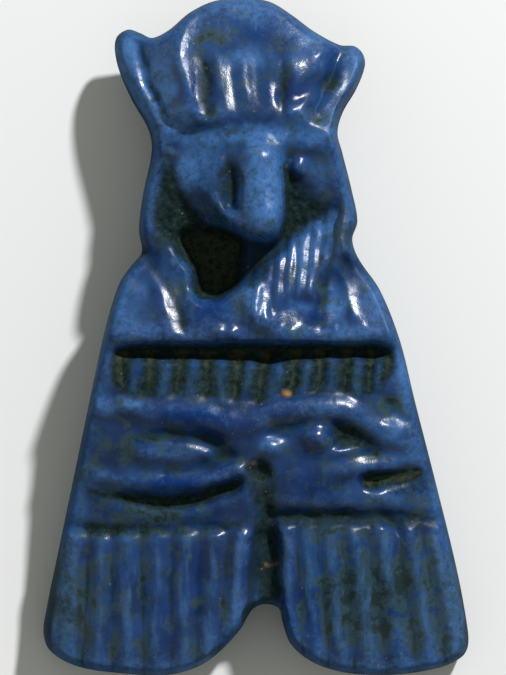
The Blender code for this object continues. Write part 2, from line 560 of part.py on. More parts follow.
def shares_across(width, steps):
    """Places from 0 to 1 across a width: close together on both rounded rims, even between them."""
    rim = RIM_WIDTH / width * (1.0 - np.cos(np.linspace(0.0, 0.5 * np.pi, RIM_STEPS + 1)))
    middle = np.linspace(rim[-1], 1.0 - rim[-1], steps + 1)[1:-1]
    return np.concatenate((rim, middle, 1.0 - rim[::-1]))


def shares_to_edge(depth, steps):
    """Places from 0 to 1 that end in one rounded rim."""
    rim = RIM_WIDTH / depth * (1.0 - np.cos(np.linspace(0.0, 0.5 * np.pi, RIM_STEPS + 1)))
    even = np.linspace(0.0, 1.0 - rim[-1], steps + 1)[1:-1]
    return np.concatenate((even, 1.0 - rim[::-1]))


def bent_row(outline, share, line_y, corner_left, corner_right, edge_y):
    """One row between a straight line across the body and the outline's bent edge beyond it."""
    y_left = line_y + (corner_left[1] - line_y) * share
    y_right = line_y + (corner_right[1] - line_y) * share
    start = np.array((outline.left_x(y_left), y_left))
    end = np.array((outline.right_x(y_right), y_right))
    u = shares_across(end[0] - start[0], COLUMNS)[:, None]
    line_left = np.array((outline.left_x(line_y), line_y))
    line_right = np.array((outline.right_x(line_y), line_y))
    line = line_left + (line_right - line_left) * u
    edge_x = corner_left[0] + (corner_right[0] - corner_left[0]) * u[:, 0]
    edge = np.column_stack((edge_x, edge_y(edge_x)))
    corners = (1 - share) * line + share * (corner_left + (corner_right - corner_left) * u)
    return (1 - share) * line + share * edge + (1 - u) * start + u * end - corners


def straight_row(outline, y):
    """One row straight across the body."""
    left = outline.left_x(y)
    right = outline.right_x(y)
    x = left + (right - left) * shares_across(right - left, COLUMNS)
    return np.column_stack((x, np.full(len(x), y)))


def front_rows(outline):
    """The grid of places (x, y) under the front, from the wing ends up to the crown's top edge."""
    rows = []
    low_left, low_right = outline.bottom[0], outline.bottom[-1]
    for share in shares_to_edge(WING_LINE - low_left[1], WING_ROWS)[::-1]:
        rows.append(bent_row(outline, share, WING_LINE, low_left, low_right, outline.bottom_y))
    start = WING_LINE
    for end, count in ROW_BANDS:
        rows.extend(straight_row(outline, y) for y in np.linspace(start, end, count + 1)[:-1])
        start = end
    rows.append(straight_row(outline, CROWN_LINE))
    high_left, high_right = outline.top[0], outline.top[-1]
    for share in shares_to_edge(high_left[1] - CROWN_LINE, CROWN_ROWS):
        rows.append(bent_row(outline, share, CROWN_LINE, high_left, high_right, outline.top_y))
    return np.array(rows)


def halves(number, height, row, column):
    """The two triangles of one cell of the front, split along the more level of its diagonals."""
    a, b = (row, column), (row, column + 1)
    c, d = (row + 1, column + 1), (row + 1, column)
    if abs(height[a] - height[c]) < abs(height[b] - height[d]):
        return (number[a], number[b], number[c]), (number[a], number[c], number[d])
    return (number[a], number[b], number[d]), (number[b], number[c], number[d])


def around(grid):
    """The values on the border of a grid, once round, anticlockwise from its first corner."""
    return np.concatenate((grid[0, :-1], grid[:-1, -1], grid[-1, :0:-1], grid[:0:-1, 0]))


def inward_of(loop):
    """Directions at a right angle to a closed loop, towards its inside, steady over a short reach."""
    pieces = np.linalg.norm(np.roll(loop, -1, axis=0) - loop, axis=1)
    length = pieces.sum()
    place = np.cumsum(pieces) - pieces
    longer = np.concatenate((place - length, place, place + length))
    x, y = np.tile(loop, (3, 1)).T
    along_x = np.interp(place + STEADY, longer, x) - np.interp(place - STEADY, longer, x)
    along_y = np.interp(place + STEADY, longer, y) - np.interp(place - STEADY, longer, y)
    return np.column_stack((-along_y, along_x)) / np.hypot(along_x, along_y)[:, None]


def side_rings(border):
    """Rings from the widest line down and in to the flat back.

    The side is rounded like a quarter of an ellipse, but under the crown and its horns it runs straight
    in to the back, which ends well inside them, so that the horns stand clear of what the amulet lies on.
    """
    flat = border[:, :2]
    raised = soft_step(RAISED_FROM, RAISED_TO, flat[:, 1])
    back = flat + inward_of(flat) * UNDERCUT
    back[:, 0] *= 1.0 - BACK_NARROWING * raised
    back[:, 1] -= BACK_SHORTENING * raised
    rings = []
    for angle in np.linspace(0.0, 0.5 * np.pi, SIDE_STEPS + 1)[1:]:
        share = 1.0 - np.cos(angle)
        level = (1.0 - raised) * (1.0 - np.sin(angle)) + raised * (1.0 - share)
        rings.append(np.column_stack((flat + (back - flat) * share, border[:, 2] * level)))
    return rings


def fit_to_size(points):
    """Scale and centre all points so that the amulet has exactly its length, width and thickness."""
    low = points.min(axis=0)
    high = points.max(axis=0)
    middle = 0.5 * (low + high)
    middle[2] = low[2]
    return (points - middle) * (np.array((WIDTH, LENGTH, THICKNESS)) / (high - low))


def build_mesh(name):
    """One closed mesh: the carved front, the rounded side and the flat back."""
    outline = Outline()
    rows = front_rows(outline)
    height = relief(rows[:, :, 0], rows[:, :, 1], outline)
    front = np.dstack((rows, height))
    row_count, column_count = height.shape
    rings = side_rings(around(front))
    points = fit_to_size(np.vstack([front.reshape(-1, 3)] + rings))

    shape = bmesh.new()
    verts = [shape.verts.new(point * MM) for point in points]
    number = np.arange(row_count * column_count).reshape(row_count, column_count)
    for row in range(row_count - 1):
        for column in range(column_count - 1):
            for triangle in halves(number, height, row, column):
                shape.faces.new([verts[i] for i in triangle])
    loops = [list(around(number))]
    for _ in rings:
        first = row_count * column_count + (len(loops) - 1) * len(loops[0])
        loops.append(list(range(first, first + len(loops[0]))))
    for upper, lower in zip(loops[:-1], loops[1:]):
        for i in range(len(upper)):
            j = (i + 1) % len(upper)
            shape.faces.new([verts[upper[j]], verts[upper[i]], verts[lower[i]], verts[lower[j]]])
    shape.faces.new([verts[i] for i in reversed(loops[-1])])

    mesh = bpy.data.meshes.new(name)
    shape.to_mesh(mesh)
    shape.free()
    return mesh


def lapis_lazuli():
    """Polished blue stone."""
    material = bpy.data.materials.new("lapis_lazuli")
    material.use_nodes = True
    shader = material.node_tree.nodes["Principled BSDF"]
    shader.inputs["Base Color"].default_value = LAPIS_BLUE
    shader.inputs["Roughness"].default_value = POLISH
    shader.inputs["Metallic"].default_value = 0.0
    return material


def clear_scene():
    """Take every object out of the scene."""
    for item in list(bpy.data.objects):
        bpy.data.objects.remove(item, do_unlink=True)


def main():
    clear_scene()
    mesh = build_mesh("amulet")
    mesh.materials.append(lapis_lazuli())
    mesh.shade_smooth()
    mesh.set_sharp_from_angle(angle=np.radians(SHARP_EDGE))
    amulet = bpy.data.objects.new("amulet", mesh)
    bpy.context.scene.collection.objects.link(amulet)


main()
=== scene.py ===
"""The finished look of the lapis lazuli amulet: its fine carving, its stone, and a plain studio around it.

The carving is one closed mesh that stands for the CAD node `amulet`.  Sizes are millimetres unless a
name says otherwise, in the CAD's own frame: +X to the right, +Y up to the crown, +Z out of the front,
with the origin on the flat back.
"""

from collections import namedtuple

import bpy
import numpy as np
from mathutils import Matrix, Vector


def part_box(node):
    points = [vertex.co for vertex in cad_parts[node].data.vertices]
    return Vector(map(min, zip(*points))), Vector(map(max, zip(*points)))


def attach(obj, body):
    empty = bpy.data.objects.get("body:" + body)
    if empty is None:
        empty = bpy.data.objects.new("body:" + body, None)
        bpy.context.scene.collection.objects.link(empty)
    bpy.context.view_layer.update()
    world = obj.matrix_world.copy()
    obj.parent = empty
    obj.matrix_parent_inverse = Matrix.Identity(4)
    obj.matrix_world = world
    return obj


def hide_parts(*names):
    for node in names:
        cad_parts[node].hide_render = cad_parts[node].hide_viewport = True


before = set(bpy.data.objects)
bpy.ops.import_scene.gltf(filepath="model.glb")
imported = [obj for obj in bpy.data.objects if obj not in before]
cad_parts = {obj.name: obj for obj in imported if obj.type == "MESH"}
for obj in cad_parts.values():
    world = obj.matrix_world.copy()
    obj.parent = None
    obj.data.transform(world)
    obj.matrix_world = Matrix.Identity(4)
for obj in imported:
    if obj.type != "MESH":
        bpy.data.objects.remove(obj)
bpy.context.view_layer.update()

MM = 0.001

# ---------------- driving sizes
RIM_WIDTH = 0.32            # how far in from the outline the front rounds over
UNDERCUT = 0.28             # how far the flat back stays inside the outline
STEADY = 0.25               # reach along the outline over which its direction is taken
RAISED_FROM = 7.0           # above this y the underside of the crown leaves the flat back ...
RAISED_TO = 10.0            # ... and from here on it is fully raised
BACK_NARROWING = 0.28       # share by which the flat back is narrower than the raised crown
BACK_SHORTENING = 1.0       # how far the flat back ends below the raised crown's edge

# ---------------- density of the faces
COLUMNS = 208               # between the two rounded rims
RIM_STEPS = 11              # across each rounded rim
SIDE_STEPS = 8              # from the widest line down to the flat back
WING_ROWS = 60
CROWN_ROWS = 58
WING_LINE = -6.8            # rows are straight from here ...
CROWN_LINE = 7.2            # ... up to here, and bend to the outline beyond
ROW_BANDS = ((-2.1, 66), (0.1, 34), (3.4, 46), (CROWN_LINE, 58))    # (upper end, rows in the band)
CURVE_STEPS = 16            # straight pieces between two points of the outline
PATH_STEPS = 6              # the same, for an area's edge or a stroke

# ---------------- outline, clockwise in four stretches
LEFT_SIDE = (
    (-7.3, -11.14), (-7.54, -10.5), (-7.42, -9.6), (-6.98, -7.49), (-6.38, -4.67), (-5.78, -1.85),
    (-5.27, 0.44), (-4.8, 1.92), (-4.36, 2.56), (-4.02, 3), (-4.12, 3.8), (-3.98, 5.02), (-3.68, 6.6),
    (-3.8, 7.35), (-4.4, 8.42), (-4.84, 9.45), (-5, 10.25),
)
CROWN_TOP = (
    (-4.9, 10.68), (-4.51, 10.91), (-4.09, 10.78), (-3.67, 10.61), (-3.1, 10.87), (-2.33, 11.51),
    (-1.45, 11.92), (-0.39, 12), (0.49, 11.89), (1.3, 11.4), (2.05, 10.84), (2.96, 10.36), (3.5, 10.31),
)
RIGHT_SIDE = (
    (3.8, 10.02), (3.86, 9.6), (3.55, 8.78), (3.08, 7.97), (2.89, 7.24), (3.05, 6.55), (3.38, 5.2),
    (3.58, 4.1), (3.4, 3.45), (3.62, 2.78), (4.37, 1.67), (5.07, -0.09), (5.6, -2.2), (6.38, -5.2),
    (7.12, -8.19), (7.5, -10.2), (7.54, -10.95),
)
WING_ENDS = (
    (7.3, -11.37), (6.48, -11.75), (4.72, -12), (3.1, -11.9), (1.97, -11.51), (1.25, -10.9), (0.97, -10.2),
    (0.82, -9.62), (0.32, -9.47), (-0.12, -9.66), (-0.56, -10.38), (-1.44, -11.3), (-2.2, -11.76),
    (-3.21, -12), (-5, -11.92), (-6.4, -11.67),
)

# ---------------- profiles along Y: (y, height)
MIDDLE_HEIGHT = (
    (-12, 2.1), (-11, 2.5), (-9, 2.85), (-7, 3.2), (-5, 3.7), (-3, 4.05), (-1, 4.25), (0.3, 4.45), (2, 4.4),
    (3.5, 4.2), (5, 4.3), (6.6, 4.7), (7.5, 4.76), (8.1, 4.86), (8.8, 4.66), (9.6, 4.34), (10.2, 4.12),
    (10.8, 3.9), (11.4, 3.66), (12, 3.4),
)
EDGE_HEIGHT = (
    (-12, 1.55), (-10, 1.85), (-8.4, 2.1), (-5.8, 2.6), (-3, 3.3), (-0.6, 3.85), (1.5, 3.8), (3, 3.4),
    (4.2, 3.65), (5.4, 3.5), (6.4, 3.2), (7.2, 2.9), (8.2, 2.5), (9.4, 2.35), (10.3, 2.3), (12, 2.2),
)
WIDEST_LINE = (
    (-12, 0.9), (-10, 1.2), (-8.4, 1.4), (-5.8, 1.9), (-3, 2.55), (-0.6, 3.05), (1.4, 3.05), (4.2, 2.95),
    (5.4, 2.8), (6.9, 2.1), (8.7, 1.8), (9.4, 1.8), (10.3, 1.75), (12, 1.6),
)
SLAB = 0.5                  # 0: the front is a plain arch from side to side; 1: flat, falling near the sides

# ---------------- kinds of carving
# An area is cut to its own level, which may differ at its top and bottom and lean to the right.  Its dirt
# goes from 0 for clean, polished stone to 1 for old grime.
Area = namedtuple("Area", "edge top bottom points lean dirt", defaults=(0, 0))
# A stain is dirty, but not cut.
Stain = namedtuple("Stain", "edge points dirt")
# A stroke is a ridge along a path, or a groove where its rise is below zero.  Its start and its end may
# have a smaller share of the rise.  A fuller stroke is flatter on top.
Stroke = namedtuple("Stroke", "half_width rise points start end fullness", defaults=(1, 1, 1))
# Flutes are rounded ribs side by side, between grooves given by their x at a low and at a high y.
Flutes = namedtuple("Flutes", "rise low_y high_y low_grooves high_grooves")
# A mound is a round swelling, or a dimple where its rise is below zero: its x and y, its reach along both,
# and its rise.

# ---------------- head
HOOD_HOLLOW_LEFT = Area(0.85, 4.05, 3.4, (
    (-3.25, 6.15), (-2.85, 6.1), (-2.6, 5.4), (-2, 4.6), (-1.2, 3.8), (-1.6, 3.1), (-2.5, 2.85),
    (-3.25, 3.35), (-3.6, 4.2), (-3.48, 5.4),
), dirt=0.66)
HOOD_HOLLOW_RIGHT = Area(0.7, 4.45, 3.36, (
    (0.85, 6.2), (1.4, 5.95), (1.9, 5.6), (2.5, 5.3), (3.02, 5.1), (2.55, 4.35), (2, 3.98), (1.5, 3.68),
    (1, 3.28), (0.4, 2.85), (0.5, 3.4), (0.85, 4.2),
), dirt=0.64)
THROAT_SLOPE = Area(0.6, 3.65, 3.55, (
    (-0.7, 3.7), (0.3, 3.5), (0.95, 3.45), (0.6, 3), (0.15, 2.55), (-0.05, 2.1), (-0.55, 1.9), (-0.8, 2.6),
), dirt=0.12)
THROAT_HOLLOW = Area(0.55, 2.8, 2.7, (
    (-2.7, 3.5), (-1.7, 3.85), (-0.9, 3.85), (-0.45, 3.4), (-0.5, 2.9), (-0.58, 2.4), (-0.7, 1.8),
    (-1.4, 1.4), (-2, 1.48), (-2.32, 2.5),
), dirt=0.92)
RIGHT_CHEEK = Area(1.1, 4.8, 4.12, (
    (1.15, 6.9), (2.2, 7.1), (3.1, 7.1), (3.2, 5.8), (3, 5), (2.2, 4.95), (1.5, 5.5),
), dirt=0.04)
BROW = Area(0.5, 4.78, 4.8, (
    (-3.1, 7.1), (-2, 7.34), (0, 7.38), (2, 7.34), (2.8, 7.2), (2.9, 6.66), (1.2, 6.56), (-1, 6.5),
    (-3.3, 6.55),
))
BROW_LEFT = Area(0.5, 4.23, 4.23, (
    (-3.55, 7.05), (-3.3, 7.25), (-2.4, 7.34), (-1.2, 7.38), (-0.9, 7), (-1.1, 6.5), (-2.2, 6.45),
    (-3.4, 6.55),
), lean=0.36)
LEFT_CHEEK = Area(0.5, 4.47, 4.7, (
    (-2.82, 7.1), (-2.66, 6.3), (-2.4, 5.6), (-2.05, 5.1), (-1.58, 4.65), (-1.22, 4.18), (-0.7, 4),
    (-0.7, 5.5), (-0.8, 7.1),
), lean=0.36)
FACE = Area(0.5, 4.79, 5.26, (
    (-0.75, 7.1), (-0.85, 6.3), (-0.95, 5.3), (-0.9, 4.4), (-0.8, 3.85), (-0.38, 3.58), (0.05, 3.36),
    (0.52, 3.37), (0.88, 3.78), (0.97, 4.4), (0.96, 5.6), (0.92, 6.4), (0.95, 7.1),
), lean=0.07)
CHEEK_SLOT = Area(0.5, 4.62, 4.5, (
    (-0.95, 6.3), (-1.22, 5.9), (-1.34, 5.3), (-1.2, 4.7), (-0.86, 4.34), (-0.62, 4.6), (-0.56, 5.4),
    (-0.7, 5.95),
), dirt=0.42)
RIGHT_BORDER = Area(0.7, 3.5, 4.2, (
    (2.7, 3), (3.9, 2.9), (4, 4.2), (3.7, 5.5), (3, 5.5), (2.78, 4.5),
), lean=-0.04)
CHEEK_FOOT = Area(1, 4.16, 4.36, (
    (-2.55, 6.7), (-2.7, 6), (-2.58, 5.4), (-2.3, 4.85), (-1.9, 4.4), (-1.45, 4), (-0.9, 3.8), (-0.8, 5.5),
    (-1.5, 6.6),
), dirt=0.12)
HEAD_AREAS = (
    RIGHT_BORDER, HOOD_HOLLOW_LEFT, HOOD_HOLLOW_RIGHT, THROAT_SLOPE, THROAT_HOLLOW, RIGHT_CHEEK,
    BROW, BROW_LEFT, CHEEK_FOOT, LEFT_CHEEK, FACE, CHEEK_SLOT,
)
HEAD_STROKES = (
    # the beak, rising to its tip
    Stroke(0.95, 0.44, ((0.08, 7.4), (0.08, 6.4), (0.1, 5.4), (0.22, 4.3)), start=0, fullness=1.2),
    # left border of the hood, and the soft edge of the left cheek
    Stroke(0.6, 0.08, ((-3.2, 6.9), (-3.62, 6.2), (-3.8, 5.4), (-3.84, 4.7), (-3.8, 3.9), (-3.6, 3.4)),
           fullness=1.5),
    # right border of the hood
    Stroke(0.5, 0.12, ((3.08, 5.6), (3.1, 5), (3.06, 4.4), (2.98, 3.5)), start=0.3, end=0.5, fullness=0.5),
)
HEAD_MOUNDS = ((1.52, 5.93, 0.52, 0.5, 0.31),)

# ---------------- crown
CROWN_FOOT = Area(1, 4.82, 4.78, (
    (-2.1, 6.9), (0, 6.9), (2.65, 6.9), (2.6, 7.6), (2, 8.2), (0, 8.1), (-1.9, 8.1), (-2.2, 7.6),
))
FAN = Area(1.5, 3.56, 4.86, (
    (-2.6, 7.8), (-3.1, 9), (-3.35, 10.2), (-3.1, 10.85), (-2.2, 11.45), (-1.3, 11.7), (-0.3, 11.8),
    (0.5, 11.65), (1.3, 11.1), (2.1, 10.6), (2.75, 10.25), (2.55, 9.3), (2, 8.5), (1.2, 8),
), lean=0.04)
RIGHT_HORN = Area(0.6, 3.15, 4.72, (
    (1.9, 7.9), (2.5, 7.3), (3.4, 7.2), (4.2, 9), (4.3, 10.2), (3.6, 10.7), (3, 10.3), (2.7, 9.4),
    (2.2, 8.6),
), lean=0.04)
LEFT_HORN = Area(0.7, 2.62, 3.76, (
    (-4.75, 9.9), (-4.65, 10.6), (-4.1, 10.6), (-3.72, 9.9), (-3.42, 9), (-3.1, 8.3), (-2.9, 7.3),
    (-3.5, 7.4), (-4, 8.4), (-4.45, 9.2),
))
HORN_SLOPE = Area(0.4, 3.66, 4, (
    (-3.98, 10.2), (-3.4, 10.55), (-2.9, 10.5), (-2.75, 9.7), (-2.6, 8.9), (-2.5, 8.1), (-3, 7.55),
    (-3.3, 7.9), (-3.55, 8.6), (-3.85, 9.4),
), lean=0.8)
CROWN_AREAS = (CROWN_FOOT, FAN, RIGHT_HORN, LEFT_HORN, HORN_SLOPE)
CROWN_STROKES = (
    # left horn
    Stroke(0.42, 0.09, ((-4.42, 10.3), (-4.34, 9.7), (-4.18, 9.1), (-4, 8.65), (-3.6, 8.1), (-3.3, 7.6)),
           start=0.2, end=0.3, fullness=0.5),
    # left petal
    Stroke(0.5, 0.1, ((-2.25, 11.4), (-2.4, 11), (-2.64, 10.5), (-2.72, 9.9), (-2.6, 9.3), (-2.4, 8.5)),
           start=0.7, end=0.6, fullness=0.5),
    # middle flutes: groove and rib in turn
    Stroke(0.4, -0.12, ((-1.96, 10.3), (-1.8, 9.4), (-1.68, 8.5), (-1.6, 7.6)), start=0, end=0.3),
    Stroke(0.36, 0.065, ((-1.5, 10.2), (-1.28, 9.3), (-1.14, 8.5), (-1.02, 7.8)), start=0, end=0.3,
           fullness=0.5),
    Stroke(0.26, -0.04, ((-0.92, 10.1), (-0.8, 9.2), (-0.7, 8.4), (-0.6, 7.6)), start=0, end=0.3),
    Stroke(0.24, 0.042, ((-0.58, 10.2), (-0.47, 9.4), (-0.37, 8.7), (-0.23, 8)), start=0, end=0.3,
           fullness=0.5),
    Stroke(0.22, -0.03, ((0.02, 10.2), (0.06, 9.3), (0.08, 8.6), (0.1, 8)), start=0, end=0.3),
    Stroke(0.24, 0.042, ((0.48, 10.1), (0.51, 9.4), (0.45, 8.5), (0.36, 7.8)), start=0, end=0.3,
           fullness=0.5),
    Stroke(0.34, -0.14, ((0.88, 10), (1, 9.3), (0.97, 8.5), (0.87, 7.6)), start=0, end=0.3),
    # the trough along the right petal's lower edge
    Stroke(0.5, -0.16, ((0.95, 8.35), (1.55, 8.5), (2.05, 8.88), (2.5, 9.35), (2.78, 9.95), (2.9, 10.6)),
           start=0.4, end=0.3),
    # the ridges from the right horn down to the crown's foot
    Stroke(0.32, 0.07, ((1.45, 8.1), (2, 8.45), (2.45, 8.9)), start=0.3, end=0.3),
    Stroke(0.36, 0.065, ((2.95, 10), (2.98, 9.5), (3, 8.95), (2.64, 8.4), (2.22, 7.95)), start=0.3, end=0.8,
           fullness=0.5),
)
CROWN_MOUNDS = (
    (1.06, 9.58, 0.95, 0.9, 0.15), (-2.1, 7.86, 0.3, 0.25, 0.06), (1.24, 7.9, 0.32, 0.25, 0.08),
    (-2.48, 7.45, 0.22, 0.18, 0.05), (1.44, 7.36, 0.22, 0.18, 0.05),
)

# ---------------- chest and shoulders
LEFT_LAPPET = Area(0.6, 3.55, 4.05, (
    (-3.85, 3.45), (-3.25, 3.4), (-2.85, 3), (-2.5, 2.4), (-2.25, 1.7), (-2.5, 1.3), (-3, 2.1),
), lean=0.05, dirt=0.2)
RIGHT_LAPPET = Area(0.7, 3.45, 4.74, (
    (2.9, 4.9), (3.3, 4.4), (3.4, 3.5), (3.1, 3), (2.7, 2.4), (2.35, 1.6), (1.4, 1.4), (0.75, 1.2),
    (0.55, 0.4), (-0.1, 0.4), (-0.42, 1.3), (-0.05, 2.2), (0.55, 3), (1.5, 3.75), (2.3, 4.3),
), lean=-0.06)
LEFT_SHOULDER = Area(0.9, 3.6, 4.46, (
    (-4.2, 2.6), (-3.65, 2.35), (-3.2, 1.7), (-2.85, 0.9), (-2.6, 0), (-5.4, 0), (-5, 1.5),
), lean=0.03)
RIGHT_SHOULDER = Area(0.9, 3.55, 4.44, (
    (3, 2.7), (4, 2.9), (5, 1.4), (5.6, 0), (2.25, 0), (2.45, 1.2),
), lean=0.04)
CHEST_AREAS = (LEFT_LAPPET, LEFT_SHOULDER, RIGHT_SHOULDER, RIGHT_LAPPET)
CHEST_STROKES = (
    # the grooves between the wig and the shoulders
    Stroke(0.5, -0.24, ((-4.1, 3.15), (-3.6, 2.7), (-3.1, 1.95), (-2.7, 1.2), (-2.4, 0.3)), end=0.2),
    Stroke(0.38, -0.2, ((3, 2.85), (2.8, 2.55), (2.5, 2.1), (2.26, 1.3), (2.15, 0.5)), start=0, end=0.3),
    # crests of the shoulders
    Stroke(0.46, 0.09, ((-3.66, 2.3), (-3.4, 1.5), (-3.16, 0.9), (-2.96, 0.3)), start=0.6, end=0.9,
           fullness=0.5),
    Stroke(0.42, 0.09, ((2.62, 2.6), (2.93, 2.36), (3.2, 1.7), (3.34, 1), (3.62, 0.38)), start=0.7, end=0.9,
           fullness=0.5),
    # the wig's left end
    Stroke(0.45, 0.1, ((-3.35, 3.5), (-3.12, 3.1), (-2.85, 2.5), (-2.6, 1.9)), end=0, fullness=0.5),
    # polished lip over the waist groove
    Stroke(0.5, 0.05, ((-4.9, 0.02), (-2, 0), (2, 0), (4.7, 0)), start=0.3, end=0.3, fullness=1.2),
    # left edge of the middle lobe
    Stroke(0.5, 0.09, ((0.1, 2), (-0.08, 1.5), (-0.08, 0.9), (0.05, 0.3)), start=0.3, end=0.6,
           fullness=0.5),
    # polished knob above the waist groove
    Stroke(0.92, 0.25, ((0.86, 0.32), (1.07, 0.06), (1.28, -0.2)), start=0.6, end=0.6),
    # groove down the wig's middle lobe
    Stroke(0.22, -0.09, ((0.5, 2.2), (0.45, 1.4), (0.6, 0.6)), start=0.2, end=0.3),
)
CHEST_MOUNDS = (
    (1.6, 1.2, 0.9, 0.55, -0.08), (-1.6, 1.1, 0.95, 0.55, -0.07), (-1.28, 0.22, 0.36, 0.36, 0.18),
    (-0.84, 0.18, 0.34, 0.34, 0.17),
)
LAPPET_FLUTES = Flutes(
    0.08, 1.2, 3.6,
    (-0.6, -0.15, 0.22, 0.55, 0.92, 1.3, 1.68, 2, 2.35),
    (-0.3, 0.05, 0.4, 0.75, 1.12, 1.48, 1.95, 2.35, 2.75),
)

# ---------------- groove and hatched band
WAIST_GROOVE = Area(0.4, 3.45, 3.45, (
    (-4.8, -0.5), (-4.5, -0.38), (-1, -0.3), (0.5, -0.28), (3, -0.32), (4.3, -0.36), (4.62, -0.52),
    (4.3, -0.68), (2, -0.76), (0.3, -0.9), (-1, -0.8), (-4.5, -0.68),
), dirt=0.9)
HATCHED_BAND = Area(0.5, 3.85, 3.9, (
    (-4.9, -0.55), (-1, -0.6), (4.7, -0.55), (4.4, -1.9), (2, -2), (-0.2, -2.3), (-2, -2.12), (-4.8, -1.9),
), dirt=0.6)
HATCHING = Flutes(
    0.12, -2.2, -0.8,
    (-4.75, -3.85, -2.8, -1.72, -0.78, 0.05, 1.1, 2.18, 3.1, 3.95, 4.6),
    (-4.65, -3.7, -2.65, -1.68, -0.62, 0.3, 1.4, 2.25, 3.2, 4.05, 4.6),
)

# ---------------- band of eyes
LEFT_EYE_BED = Area(0.8, 3.64, 3.52, (
    (-4.95, -3.95), (-4.3, -3.5), (-2.9, -3.32), (-1.7, -3.48), (-0.9, -3.95), (-0.65, -4.3), (-1.5, -4.7),
    (-2.8, -4.82), (-4.2, -4.7),
), dirt=0.3)
LEFT_EYE = Area(0.6, 3.86, 3.88, (
    (-4.25, -4.02), (-3.6, -3.7), (-2.7, -3.6), (-1.9, -3.78), (-1.5, -4.05), (-1.9, -4.32), (-2.8, -4.48),
    (-3.7, -4.38),
))
EYE_HOLLOW_RIGHT = Area(0.6, 3.62, 3.5, (
    (2.85, -3.1), (3.5, -3.18), (4, -3.5), (4.4, -3.85), (3.8, -4), (3.2, -3.85), (2.8, -3.75),
    (2.75, -3.3),
), dirt=0.6)
RIGHT_LENS = Area(0.45, 3, 3, (
    (3.7, -5.02), (4.2, -4.8), (5, -4.72), (5.75, -4.62), (5.9, -4.82), (5.4, -5.08), (4.6, -5.24),
    (4, -5.3),
), dirt=0.95)
LID_GROOVE = Area(0.5, 3.12, 3, (
    (-5.9, -5.28), (-4.9, -5.46), (-4, -5.54), (-2.9, -5.58), (-1.9, -5.42), (-1.2, -5.18), (-0.5, -5.05),
    (-0.6, -5.32), (-1.2, -5.58), (-1.9, -5.88), (-2.9, -6.1), (-4, -5.98), (-4.9, -5.74), (-5.8, -5.45),
), dirt=0.72)
EYE_AREAS = (LEFT_EYE_BED, LEFT_EYE, EYE_HOLLOW_RIGHT, RIGHT_LENS, LID_GROOVE)
EYE_STROKES = (
    # brow over both eyes
    Stroke(0.58, 0.25, ((-5.8, -2.5), (-4.4, -2.55), (-3, -2.68), (-1.8, -2.85), (-0.9, -3.08), (-0.1, -3),
           (0.8, -2.7), (1.6, -2.55), (2.5, -2.52), (3.3, -2.6), (3.75, -2.9), (4.3, -3.32), (4.9, -3.62),
           (5.6, -3.85)), start=0.5, end=0.7, fullness=1.2),
    # left eye's lower lid
    Stroke(0.46, 0.2, ((-5.9, -4.8), (-5, -4.98), (-4, -5.16), (-3, -5.24), (-2, -5.16), (-1.2, -4.93),
           (-0.62, -4.6)), start=0.5, fullness=1.2),
    # bridge between the eyes
    Stroke(0.6, -0.16, ((0.2, -3.25), (0.8, -3.15), (1.6, -3.1)), start=0.3, end=0.5),
    # the right eye's ridges, grooves and lashes
    Stroke(0.38, 0.14, ((1.9, -4.55), (2.5, -4.62), (3.5, -4.68), (4.6, -4.5), (5.9, -4.25)), start=0.3,
           end=0.6),
    Stroke(0.2, 0.18, ((2.35, -4.32), (2.85, -4.05), (3.25, -3.95), (3.6, -3.98)), start=0.4, end=0.6),
    Stroke(0.2, -0.14, ((3.3, -4.18), (4, -4.12), (4.7, -4.02)), start=0.3, end=0.2),
    Stroke(0.28, 0.14, ((4.3, -2.95), (4.8, -3.12), (5.4, -3.3)), start=0.2),
    Stroke(0.4, -0.14, ((4.35, -2.05), (4.75, -2.45), (5, -2.75)), start=0.4, end=0.3),
    Stroke(0.26, -0.18, ((3.3, -4.85), (3, -5.15), (2.6, -5.55)), start=0.6, end=0.2),
    Stroke(0.3, 0.05, ((4.1, -5.5), (5, -5.55), (6, -5.45)), start=0.8, end=0.2),
    # grooves over both wings
    Stroke(0.42, -0.26, ((0.6, -6.28), (2, -6.3), (3.4, -6.32), (4, -6.3), (5, -6.36), (6.5, -6.36)),
           end=0.4),
    Stroke(0.28, -0.14, ((4.4, -6.3), (4.8, -6.65), (5.2, -6.95)), start=0.6, end=0.4),
    Stroke(0.36, -0.12, ((-6.5, -6.72), (-5.5, -6.8), (-4.5, -6.86), (-2.5, -6.66), (-0.3, -6.6)), end=0.4),
)
EYE_MOUNDS = (
    (2.16, -3.52, 0.75, 0.66, 0.42), (0.5, -3.9, 0.75, 0.5, 0.26), (0.15, -4.7, 0.55, 0.45, -0.28),
    (-0.74, -4.6, 0.3, 0.28, 0.1), (1.55, -2.64, 0.25, 0.2, 0.05), (3.34, -2.6, 0.25, 0.22, 0.07),
    (2.76, -2.62, 0.25, 0.22, 0.07), (4.34, -5.66, 0.32, 0.28, 0.11), (-4.45, -2.45, 0.6, 0.45, 0.08),
    (-1.76, -4.17, 0.26, 0.26, 0.11),
)
EYE_FLUTES = Flutes(0.1, -6, -4.7, (0.85, 1.75, 2.55, 3.6), (0.85, 1.9, 2.85, 3.7))
EYE_FLUTES_SPAN = (-6, -4.8)    # the y between which these flutes are cut ...
EYE_FLUTES_FADE = 0.2           # ... fading out over this much more
